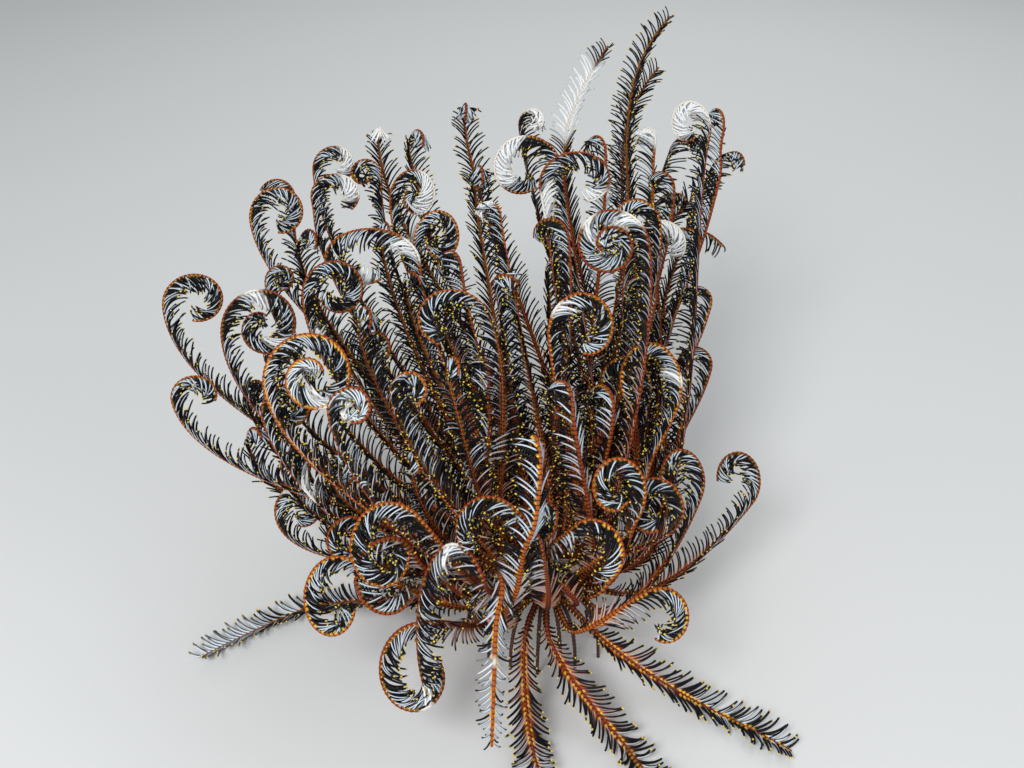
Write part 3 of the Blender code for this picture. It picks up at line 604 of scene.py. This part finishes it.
# Combs: stretches where every pinnule carries its painted highlight streak and is a little pale as well.
PALE_HIGHLIGHT_COMBS = {"front_2": [(0.54, 0.67)], "front_3": [(0.74, 0.80)], "right_5": [(0.32, 0.37)],
              "floor_left_1": [(0.78, 1)], "middle_1": [(0.74, 0.95)], "left_4": [(0.86, 0.98)]}
GOLDEN_ARMS = ("floor_front_1", "floor_front_2", "floor_front_3", "front_1", "front_3", "front_4",
               "low_left_3", "low_right_1", "left_4", "right_1")


def band_mask(share, bands):
    """A soft mask at each share of an arm's length, from its bands: white bands, or stretches of painted
    highlight.
    """
    pale = np.zeros(len(share))
    for start, end in bands:
        pale = np.maximum(pale, smooth(share, start - 0.01, start + 0.01)
                          * (1 - smooth(share, end - 0.01, end + 0.01)))
    return pale


names = list(paths)
lines = {name: arm_line(name) for name in names}
STRIP = 1 / (len(names) + 6)
tones = dict(zip(names, np.random.RandomState(3).uniform(0, 1, len(names))))
tones.update({name: 0.35 for name in INNER_ARMS})
tones.update({name: 1.0 for name in GOLDEN_ARMS})
tones.update({name: 0.3 for name in LYING_ARMS})

skin_weave, inner_weave = Weaving(), Weaving()
for row, name in enumerate(names):
    line, facing, along = lines[name]
    ossicles = round((along[-1] - along[0]) / OSSICLE)
    counts = (np.arange(ossicles)[:, None] + OSSICLE_RINGS).ravel()
    places = along[0] + (along[-1] - along[0]) * counts / ossicles
    share = np.clip(places / along[-1], 0, 1)
    widths = skin_half_width(share)
    widths += (STUB_HALF_WIDTH - widths) * (1 - smooth(places, -2, 5))
    widths *= np.tile([NARROW, WIDE], ossicles)
    weave = inner_weave if name in INNER_ARMS else skin_weave
    weave.add_tube(frames_at(line, facing, along, places), widths, ARM_SIDES,
                   (0, row * STRIP, 1, (row + 0.9) * STRIP), ossicles=counts, share=share,
                   pale=band_mask(share, PALE_BANDS.get(name, ())), tone=tones[name])
for ray in range(RAYS):
    middle = math.radians(FRONT_RAY + RAY_STEP * ray)
    outward = np.array([math.cos(middle), math.sin(middle), 0])
    widest = max(abs(place) for owner, _, place in stubs.values() if owner == ray) * RING_SPREAD
    bow = np.radians(np.linspace(-widest, widest, 12)) + middle
    ring = RING_RADIUS * np.stack([np.cos(bow), np.sin(bow), np.zeros(12)], -1)
    stem = outward * np.linspace(RAY_START, RING_RADIUS, 6)[:, None]
    for line, width, strip in ((stem, STEM_HALF_WIDTH, 5), (ring, RING_HALF_WIDTH, 3)):
        along = np.concatenate([[0], np.cumsum(np.linalg.norm(np.diff(line, axis=0), axis=1))])
        upright = np.tile([0.0, 0.0, 1.0], (len(line), 1))
        counts = np.arange(round(along[-1] / OSSICLE))[:, None] + OSSICLE_RINGS
        places = along[-1] * counts.ravel() / len(counts)
        widths = width * np.tile([RAY_NARROW, RAY_WIDE], len(counts))
        left, low = 0.2 * ray, 1 - strip * STRIP
        skin_weave.add_tube(frames_at(line, upright, along, places), widths, RAY_SIDES,
                            (left, low, left + 0.18, low + STRIP), ossicles=counts.ravel(),
                            share=0.0, pale=0.0, tone=0.5)
skin, inner_skin = skin_weave.piece("skin"), inner_weave.piece("inner_skin")


class Wire:
    """An output socket of a material, so that sums on values read as arithmetic."""

    def __init__(self, paint, socket):
        self.paint, self.socket = paint, socket

    def maths(self, operation, first, second=0.0):
        """A Math node on two values."""
        return self.paint.node("ShaderNodeMath", {"operation": operation}, {0: first, 1: second})

    def __add__(self, other):
        return self.maths("ADD", self, other)

    def __radd__(self, other):
        return self.maths("ADD", other, self)

    def __sub__(self, other):
        return self.maths("SUBTRACT", self, other)

    def __rsub__(self, other):
        return self.maths("SUBTRACT", other, self)

    def __mul__(self, other):
        return self.maths("MULTIPLY", self, other)

    def __rmul__(self, other):
        return self.maths("MULTIPLY", other, self)

    def fraction(self):
        """What is left past the last whole number."""
        return self.maths("FRACT", self)

    def between(self, low, high):
        """A soft step from 0 to 1 as the value passes from low to high."""
        return self.paint.node("ShaderNodeMapRange", {"interpolation_type": "SMOOTHSTEP"},
                               {0: self, 1: low, 2: high, 3: 0.0, 4: 1.0})


class Paint:
    """A piece's material: a Principled shader and the nodes that vary it."""

    def __init__(self, name, *pieces, **constants):
        material = bpy.data.materials.new(name)
        material.use_nodes = True
        self.tree = material.node_tree
        self.shader = self.tree.nodes["Principled BSDF"]
        for socket, value in constants.items():
            self.shader.inputs[socket.replace("_", " ")].default_value = value
        for piece in pieces:
            piece.data.materials.clear()
            piece.data.materials.append(material)

    def feed(self, socket, value):
        """Link a wire to a socket, or set the socket to a value."""
        if isinstance(value, Wire):
            self.tree.links.new(value.socket, socket)
        else:
            socket.default_value = value

    def node(self, kind, settings, sockets, output=0):
        """Any node: its settings first, then the values or links of its sockets."""
        made = self.tree.nodes.new(kind)
        for setting, value in settings.items():
            setattr(made, setting, value)
        for socket, value in sockets.items():
            self.feed(made.inputs[socket], value)
        return Wire(self, made.outputs[output])

    def mark(self, name):
        """A mark that the mesh carries."""
        return self.node("ShaderNodeAttribute", {"attribute_name": name}, {}, "Fac")

    def noise(self, scale, detail=2.0):
        """Noise over the object's own coordinates, in metres."""
        where = self.node("ShaderNodeTexCoord", {}, {}, "Object")
        return self.node("ShaderNodeTexNoise", {}, {"Vector": where, "Scale": scale, "Detail": detail})

    def mix(self, share, first, second):
        """One colour turning into another."""
        return self.node("ShaderNodeMix", {"data_type": "RGBA"}, {0: share, 6: first, 7: second}, 2)

    def wear(self, **values):
        """What varies over the surface: colour, roughness and the like."""
        for socket, value in values.items():
            self.feed(self.shader.inputs[socket.replace("_", " ")], value)

    def bump(self, height, depth):
        """Fine relief, depth metres deep."""
        normal = self.node("ShaderNodeBump", {}, {"Strength": 1.0, "Distance": depth, "Height": height})
        self.wear(Normal=normal)


RUST = (0.43, 0.088, 0.009, 1)
MAROON = (0.27, 0.032, 0.008, 1)
AMBER = (0.95, 0.52, 0.06, 1)
BLACKISH = (0.008, 0.005, 0.005, 1)
BONE = (0.80, 0.79, 0.74, 1)

paint = Paint("arm_skin", skin, inner_skin, IOR=1.45, Specular_IOR_Level=0.25, Coat_Roughness=0.25)
around_arm = paint.mark("aboral")
ridge = around_arm.between(-0.45, 0.1) + (0 - around_arm).between(0.78, 0.92)
rim = around_arm.between(-0.75, -0.45) * (1 - around_arm.between(-0.2, 0.25))
along_ossicle = paint.mark("ossicles").fraction()
body = along_ossicle.between(0.0, 0.22) * (1 - along_ossicle.between(0.78, 1.0))
bead = along_ossicle.between(0.3, 0.45) * (1 - along_ossicle.between(0.55, 0.7))
mottle = paint.noise(900.0)
colour = paint.mix(paint.mark("tone").between(0.0, 1.0), MAROON, RUST)
colour = paint.mix(0.05 + 0.95 * (ridge * body), BLACKISH, colour)
colour = paint.mix(rim * bead * (0.5 + mottle), colour, AMBER)
colour = paint.mix(paint.mark("pale") * (0.55 + 0.45 * ridge), colour, BONE)
paint.wear(Base_Color=colour, Roughness=0.45 + 0.25 * mottle)
paint.bump(mottle * body, 0.0001)

for piece in (skin, inner_skin):
    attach(piece, "root")
arm_nodes = [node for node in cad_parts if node.startswith("arm_")]
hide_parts(*arm_nodes, *[f"ray_{ray + 1}" for ray in range(RAYS)])

# The calyx and its cirri: a five-sided bony plate with a dome under it, and fourteen
# jointed hooks that arch out of the dome and stand on the floor with flat ends.
PLATE_APOTHEM = 7.0
PLATE_HALF_HEIGHT = 3.2
PLATE_BEVEL = 0.8
DOME_RADIUS = 6.6
FUSE_GRAIN = 0.35
CIRRI = 14
CIRRUS_HALF_WIDTH = 1.0
CIRRUS_ROOT_RADIUS = 4.0
CIRRUS_ROOT_HEIGHTS = (-6.2, -4.4)
CIRRUS_ARCH = 3.6
CIRRUS_FOOT_RADIUS = 25.0
CIRRUS_FOOT_DRAW = (0.72, 0.9)
CIRRUS_UNEVEN = 0.18
CIRRUS_SIDES = 8


def cirrus_lines():
    """The centre line of each cirrus: out of the dome, over, and straight down to the floor."""
    draw = random.Random(7)
    lines = []
    for index in range(CIRRI):
        angle = 2 * math.pi * (index + draw.uniform(-CIRRUS_UNEVEN, CIRRUS_UNEVEN)) / CIRRI
        outward = np.array([math.cos(angle), math.sin(angle), 0])
        foot = CIRRUS_FOOT_RADIUS * draw.uniform(*CIRRUS_FOOT_DRAW)
        high = CIRRUS_ROOT_HEIGHTS[index % 2]
        knots = [(CIRRUS_ROOT_RADIUS, high), (foot * 0.62, high + CIRRUS_ARCH),
                 (foot, high - 4), (foot, FLOOR)]
        corners = [outward * r + np.array([0, 0, z]) for r, z in knots]
        line = []
        for t in np.linspace(0, 1, 6):
            u = 1 - t
            line.append(u**3 * corners[0] + 3 * u * u * t * corners[1]
                        + 3 * u * t * t * corners[2] + t**3 * corners[3])
        lines.append((np.array(line), angle))
    return lines


bpy.ops.mesh.primitive_cylinder_add(
    vertices=RAYS, radius=PLATE_APOTHEM / math.cos(math.pi / RAYS) * MM,
    depth=2 * PLATE_HALF_HEIGHT * MM, location=placed((0, 0, 0)),
    rotation=(0, 0, math.radians(FRONT_RAY + 180 / RAYS - 90)))
plate = bpy.context.object
plate.name = "calyx_plate"
bpy.ops.object.mode_set(mode="EDIT")
bpy.ops.mesh.bevel(offset=PLATE_BEVEL * MM, segments=3)
bpy.ops.object.mode_set(mode="OBJECT")
bpy.ops.mesh.primitive_uv_sphere_add(segments=40, ring_count=20, radius=DOME_RADIUS * MM,
                                     location=placed((0, 0, -PLATE_HALF_HEIGHT)), scale=(1, 1, 0.8))
plate.select_set(True)
bpy.context.view_layer.objects.active = plate
bpy.ops.object.join()
fuse = plate.modifiers.new("fuse", "REMESH")
fuse.mode = "VOXEL"
fuse.voxel_size = FUSE_GRAIN * MM
soften = plate.modifiers.new("soften", "SMOOTH")
soften.iterations = 3
for modifier in ("fuse", "soften"):
    bpy.ops.object.modifier_apply(modifier=modifier)
bpy.ops.object.transform_apply(location=True, rotation=True, scale=True)
bpy.ops.object.shade_smooth()
plate.select_set(False)

cirri_weave = Weaving()
for row, (line, angle) in enumerate(cirrus_lines()):
    along = np.concatenate([[0], np.cumsum(np.linalg.norm(np.diff(line, axis=0), axis=1))])
    sideways = np.tile([-math.sin(angle), math.cos(angle), 0.0], (len(line), 1))
    ossicles = round(along[-1] / OSSICLE)
    counts = (np.arange(ossicles)[:, None] + np.array([0.1, 0.5, 0.92])).ravel()
    places = along[-1] * counts / ossicles
    share = places / along[-1]
    widths = 0.85 * CIRRUS_HALF_WIDTH * (1 - 0.3 * share) * np.tile([1.06, 0.82, 1.06], ossicles)
    cirri_weave.add_tube(frames_at(line, sideways, along, places), widths, CIRRUS_SIDES,
                         (0, row / CIRRI, 1, (row + 0.9) / CIRRI), ossicles=counts, share=share)
cirri = cirri_weave.piece("cirri")

# The calyx and cirri are the bone's own brown, darkened as painted shade for the shadow under the bush;
# the mottle runs between two such darkened browns.
SHADE_DARKENED_BONE = (0.09, 0.035, 0.018, 1)
SHADED = (0.025, 0.010, 0.007, 1)
paint = Paint("calyx_bone", plate, cirri, IOR=1.5)
mottle = paint.noise(500.0, 4.0)
bands = paint.mark("share").between(0.1, 1.0)
colour = paint.mix(mottle.between(0.35, 0.7), SHADED, SHADE_DARKENED_BONE)
colour = paint.mix(bands * 0.15, colour, MAROON)
paint.wear(Base_Color=colour, Roughness=0.45 + 0.3 * mottle)
paint.bump(mottle, 0.00015)
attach(plate, "root")
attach(cirri, "root")
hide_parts("calyx")
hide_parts("calyx")

# The oral disc: a soft dark dome of skin on top of the plate, with the mouth in its middle
# and five food grooves that run out to the rays.
DISC_RADIUS = 8.6
DISC_HEIGHT = 7.0
DISC_CUT = 0.4
DISC_INSET = 0.98
GROOVE_DEPTH = 0.18
MOUTH_DEPTH = 0.3
MOUTH_REACH = 0.16
DISC_DARK = (0.02, 0.009, 0.007, 1)
DISC_BROWN = (0.10, 0.04, 0.02, 1)

bpy.ops.mesh.primitive_uv_sphere_add(segments=60, ring_count=32, radius=DISC_RADIUS)
disc = bpy.context.object
disc.name = "soft_disc"
bpy.ops.object.mode_set(mode="EDIT")
bpy.ops.mesh.select_all(action="SELECT")
bpy.ops.mesh.bisect(plane_co=(0, 0, DISC_CUT), plane_no=(0, 0, 1), clear_inner=True, use_fill=True)
bpy.ops.object.mode_set(mode="OBJECT")
for vert in disc.data.vertices:
    reach = math.hypot(vert.co.x, vert.co.y) / DISC_RADIUS
    angle = math.atan2(vert.co.y, vert.co.x)
    groove = max(0, math.cos(RAYS * (angle + math.pi / 2))) ** 8 * min(1, 3 * reach)
    mouth = math.exp(-(reach / MOUTH_REACH) ** 2)
    height = max(0, vert.co.z - DISC_CUT) / DISC_RADIUS * (DISC_HEIGHT - GAP)
    height *= 1 - GROOVE_DEPTH * groove - MOUTH_DEPTH * mouth
    aside, ahead = vert.co.x * DISC_INSET, vert.co.y * DISC_INSET
    vert.co = Vector(placed((aside, ahead, height + PLATE_HALF_HEIGHT + GAP)))
bpy.ops.object.shade_smooth()
disc.select_set(False)

paint = Paint("disc_skin", disc, IOR=1.42, Coat_Weight=0.2, Coat_Roughness=0.3)
mottle = paint.noise(700.0, 3.0)
colour = paint.mix(mottle.between(0.4, 0.75), DISC_DARK, DISC_BROWN)
paint.wear(Base_Color=colour, Roughness=0.4 + 0.3 * mottle)
paint.bump(mottle, 0.0002)
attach(disc, "root")
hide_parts("oral_disc")

# The pinnules: every ossicle bears one slender jointed branch on each side. One is
# modelled once, a five-sided taper in eight steps, and is then copied down both sides
# of each arm, leaning to the oral side and sweeping towards the arm's tip.
PINNULE_LENGTH = 9.2
PINNULE_SIDES = 5
PINNULE_STEPS = 8
PINNULE_HALF_WIDTH = 0.45
PINNULE_TAPER = 0.94
PINNULE_TIP = 0.05
PINNULE_FLATNESS = 0.8
LYING_STOUTNESS = 1.3
ROOT_OUTWARD = 0.6
ROOT_ORAL = 0.3
CURL_ONSET = 15
CURL_SPREAD = 20
TRUNK_LEAN = math.radians(32)
CROOK_LEAN = math.radians(60)
TRUNK_SWEEP = math.radians(34)
CROOK_SWEEP = math.radians(24)
LEAN_BOW = 0.12
SWEEP_BOW = 0.26
BOW_DRAW = (1.35, 0.4)
UNEVEN_DEGREES = 6
LENGTH_DRAW = (0.82, 1.12)
ROOT_GROWTH = (0.35, 18)
TIP_GROWTH = (0.6, 12)
SHORTENINGS = (0.4, 0.55, 0.7, 0.85, 1.0)
NEIGHBOUR_CLEARANCE = 1.3
# Which way the face that carries each pinnule's painted highlight is turned.
HIGHLIGHT_OUTWARD = 0.35
HIGHLIGHT_ORAL = -0.35
LYING_HIGHLIGHT_ORAL = 0.25
GLINT_DRAW = (0.7, 1)
GLINT_LEAST = 0.34
GLINT_SWING = 0.42
GLINT_WAVE = 9
COMB_PALENESS = 0.15
INNER_COMBS = 3
PATCH = 0.003

bpy.ops.mesh.primitive_circle_add(vertices=PINNULE_SIDES, radius=1, fill_type="NGON")
model = bpy.context.object
bpy.ops.object.mode_set(mode="EDIT")
for step in range(PINNULE_STEPS - 1):
    rise = (1 - PINNULE_TIP) / (PINNULE_STEPS - 1)
    bpy.ops.mesh.extrude_region_move(TRANSFORM_OT_translate={"value": (0, 0, rise)})
    bpy.ops.transform.resize(value=(PINNULE_TAPER, PINNULE_TAPER, 1))
bpy.ops.mesh.extrude_region_move(TRANSFORM_OT_translate={"value": (0, 0, PINNULE_TIP)})
bpy.ops.mesh.merge(type="CENTER")
bpy.ops.mesh.select_all(action="SELECT")
bpy.ops.mesh.normals_make_consistent(inside=False)
bpy.ops.object.mode_set(mode="OBJECT")
shape = np.array([vert.co for vert in model.data.vertices])
reach, across, upward = shape[:, 2], shape[:, 0], shape[:, 1]
turn = np.arctan2(upward, across) / (2 * math.pi)
outlines = [list(face.vertices) for face in model.data.polygons]
bpy.data.objects.remove(model)
walls = np.array([outline for outline in outlines if len(outline) == 4])
base = next(outline for outline in outlines if len(outline) == PINNULE_SIDES)
fans = [outline for outline in outlines if len(outline) == 3]
fans = np.array(fans + [[base[0], base[k], base[k + 1]] for k in range(1, PINNULE_SIDES - 1)])
around = np.maximum(np.hypot(across, upward), 1e-6)


def patch_places(corners):
    """Each corner's place on the pinnule's patch: along it and round it, unbroken in a face."""
    turns = turn[corners]
    turns = turns - np.round(turns - turns[:, :1])
    return np.stack([reach[corners] - 0.5, turns], -1) * PATCH


wall_patch, fan_patch = patch_places(walls), patch_places(fans)
line_points = np.concatenate([paths[name] for name in names]).astype(np.float32)
line_owner = np.repeat(np.arange(len(names)), [len(paths[name]) for name in names])


def clear_lengths(roots, start, finish, lengths, row):
    """Lengths at which the pinnules stop short of other arms."""
    others = line_points[line_owner != row]
    allowed = np.full(len(roots), SHORTENINGS[0])
    for share in SHORTENINGS:
        ends = roots + (lengths * share)[:, None] * (start + (finish - start) * share / 2)
        squares = (ends**2).sum(1)[:, None] + (others**2).sum(1) - 2 * ends @ others.T
        free = squares.min(1) > NEIGHBOUR_CLEARANCE**2
        allowed = np.where(free & (allowed > share - 0.2), share, allowed)
    return lengths * allowed


def growth(distance, least, full):
    """How grown the pinnules are at a distance from an arm's end: short there, full further on."""
    return least + (1 - least) * np.minimum(1, distance / full)


def headings(lean, sweep, outward, oral, tangents):
    """Directions that lean from an arm's side to its oral side and sweep towards its tip."""
    flat = np.cos(lean)[:, None] * outward + np.sin(lean)[:, None] * oral
    return np.cos(sweep)[:, None] * flat + np.sin(sweep)[:, None] * tangents


def bent_pinnules(roots, start, finish, lengths, thick, highlight):
    """Copies of the pinnule that bend from one direction to another, the face that carries the painted
    highlight turned as told.
    """
    middle = roots[:, None] + lengths[:, None, None] * (
        reach[:, None] * start[:, None] + reach[:, None]**2 / 2 * (finish - start)[:, None])
    middle[..., 2] = np.maximum(middle[..., 2], FLOOR + PINNULE_HALF_WIDTH)
    ahead = units(start[:, None] + reach[:, None] * (finish - start)[:, None])
    face = units(highlight[:, None] - ahead * (ahead * highlight[:, None]).sum(-1, keepdims=True))
    edge = PINNULE_FLATNESS * np.cross(ahead, face)
    return middle + thick[:, None, None] * (across[:, None] * face + upward[:, None] * edge)


def add_pinnules(weave, row, sign):
    """Copy the pinnule down one side of an arm."""
    name = names[row]
    line, facing, along = lines[name]
    length = along[-1]
    draws = np.random.RandomState(2 * row + (sign > 0))
    places = np.arange(0.5 + 0.25 * sign, length / OSSICLE - 0.4) * OSSICLE
    count = len(places)
    share = places / length
    centres, tangents, sides, oral = frames_at(line, facing, along, places)
    outward = sides * sign

    crook = crook_share(name, paths[name]) * length
    curled = np.clip((places - crook + CURL_ONSET) / CURL_SPREAD, 0, 1) if curls(name) else np.zeros(count)
    lean = TRUNK_LEAN + (CROOK_LEAN - TRUNK_LEAN) * curled
    lean += np.radians(draws.normal(0, UNEVEN_DEGREES, count))
    sweep = TRUNK_SWEEP + (CROOK_SWEEP - TRUNK_SWEEP) * curled
    sweep += np.radians(draws.normal(0, UNEVEN_DEGREES, count))
    bow = draws.normal(*BOW_DRAW, count)
    start = headings(lean - LEAN_BOW * bow, sweep + SWEEP_BOW * bow, outward, oral, tangents)
    finish = headings(lean + LEAN_BOW * bow, sweep - SWEEP_BOW * bow, outward, oral, tangents)
    roots = centres + skin_half_width(share)[:, None] * (ROOT_OUTWARD * outward + ROOT_ORAL * oral)
    grown = np.minimum(growth(places, *ROOT_GROWTH), growth(length - places, *TIP_GROWTH))
    lengths = PINNULE_LENGTH * grown * draws.uniform(*LENGTH_DRAW, count)
    lengths = clear_lengths(roots, start, finish, lengths, row)

    lies = name in LYING_ARMS
    # The painted highlight sits on the face turned to the arm's tip, a little outward and off the oral
    # side;
    # on lying arms it turns a little towards the oral side, which faces up.
    facing_oral = LYING_HIGHLIGHT_ORAL if lies else HIGHLIGHT_ORAL
    highlight = units(tangents + HIGHLIGHT_OUTWARD * outward + facing_oral * oral)
    thick = PINNULE_HALF_WIDTH * (LYING_STOUTNESS if lies else 1.0) * (0.7 + 0.3 * grown)
    points = bent_pinnules(roots, start, finish, lengths, thick, highlight)

    pale, comb = band_mask(share, PALE_BANDS.get(name, ())), band_mask(share, PALE_HIGHLIGHT_COMBS.get(name, ()))
    # glint: which pinnules carry a painted highlight streak, more of them in waves along the arm, all of
    # them in the combs.
    glint = draws.uniform(*GLINT_DRAW, count)
    glint *= draws.uniform(0, 1, count) < GLINT_LEAST + GLINT_SWING * np.sin(places / GLINT_WAVE + row)**2
    marks = {"glint": np.maximum(glint, comb), "share": share,
             "pale": np.maximum(pale, COMB_PALENESS * comb), "tone": draws.uniform(0, 1, count)}
    marks = {mark: np.repeat(values, len(shape)) for mark, values in marks.items()}
    shift = np.arange(count)[:, None, None] * len(shape)
    home = np.stack([share, np.full(count, (row + 0.45 + 0.2 * sign) * STRIP)], -1)[:, None, None]
    weave.add(points.reshape(-1, 3), (walls + shift).reshape(-1, 4), (wall_patch + home).reshape(-1, 2),
              (fans + shift).reshape(-1, 3), (fan_patch + home).reshape(-1, 2),
              reach=np.tile(reach, count), face=np.tile(across / around, count),
              golden=float(name in GOLDEN_ARMS), **marks)


def comb_of(name):
    """Which piece an arm's pinnules belong to: its ray's, or one of the inner arms'."""
    if name in INNER_ARMS:
        return RAYS + list(INNER_ARMS).index(name) % INNER_COMBS
    return stubs[name][0]


combs = []
for comb in range(RAYS + INNER_COMBS):
    weave = Weaving()
    for row, name in enumerate(names):
        if comb_of(name) == comb:
            add_pinnules(weave, row, 1)
            add_pinnules(weave, row, -1)
    combs.append(weave.piece(f"pinnules_{comb + 1}"))
    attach(combs[-1], "root")

INK = (0.006, 0.005, 0.007, 1)
EMBER = (0.42, 0.07, 0.012, 1)
# The colours of the pinnules' painted highlight: pinkish on the inner part of an arm, blue-white further
# out.
HIGHLIGHT_FROST = (0.68, 0.78, 0.88, 1)
HIGHLIGHT_BLUSH = (0.66, 0.36, 0.26, 1)
CHALK = (0.88, 0.90, 0.91, 1)
GOLD = (0.85, 0.62, 0.08, 1)
paint = Paint("pinnule_skin", *combs, IOR=1.45, Specular_IOR_Level=0.2, Coat_Roughness=0.2)
reached = paint.mark("reach")
chance = paint.mark("tone")
pale = paint.mark("pale")
outer = paint.mark("share").between(0.15, 0.6)
# The painted highlight: a streak along the highlight face of each glinting pinnule, short of its root and
# its end;
# the rest is the pinnules' own black and ember.
lit = paint.mark("face").between(-0.1, 0.35) * paint.mark("glint")
dark = paint.mix(reached.between(0.05, 0.35), paint.mix(outer, EMBER, INK), INK)
highlight = paint.mix(outer, HIGHLIGHT_BLUSH, HIGHLIGHT_FROST)
highlight_streak = lit * reached.between(0.02, 0.14) * (1 - reached.between(0.62, 0.9))
colour = paint.mix(highlight_streak, dark, highlight)
colour = paint.mix(pale * (1 - 0.5 * reached.between(0.8, 1.0)), colour, CHALK)
root = (1 - reached.between(0.05, 0.16)) * (0.3 + 0.7 * paint.mark("golden")) * chance.between(0.1, 0.6)
colour = paint.mix(root, colour, AMBER)
tip = reached.between(0.9, 0.95) * chance.between(0.22, 0.45) * (1 - 0.8 * pale)
colour = paint.mix(tip, colour, GOLD)
paint.wear(Base_Color=colour, Roughness=0.4 + 0.3 * paint.noise(2000.0))

# The studio: a pale floor that the animal stands on, and soft light from large panels.
STUDIO_PALE = (0.72, 0.73, 0.73, 1)
STUDIO_SIZE = 12
AIR = (0.86, 0.90, 0.92, 1)
AIR_STRENGTH = 0.34
LIT_MIDDLE = Vector((0, 0, 0.07))

bpy.ops.mesh.primitive_plane_add(size=STUDIO_SIZE)
floor = bpy.context.object
floor.name = "studio_floor"
paint = Paint("studio_floor", floor, Base_Color=STUDIO_PALE, Roughness=0.9)

world = bpy.data.worlds.new("studio_air")
world.use_nodes = True
world.node_tree.nodes["Background"].inputs["Color"].default_value = AIR
world.node_tree.nodes["Background"].inputs["Strength"].default_value = AIR_STRENGTH
bpy.context.scene.world = world

for panel, (where, size, power) in {
    "key_panel": ((-0.30, -0.75, 0.80), 0.4, 9.5),
    "fill_panel": ((0.85, -0.45, 0.55), 0.7, 2.5),
    "back_panel": ((0.2, 0.8, 0.8), 0.7, 3.0),
}.items():
    aim = (LIT_MIDDLE - Vector(where)).to_track_quat("-Z", "Y").to_euler()
    bpy.ops.object.light_add(type="AREA", location=where, rotation=aim)
    light = bpy.context.object
    light.name = panel
    light.data.size = size
    light.data.energy = power
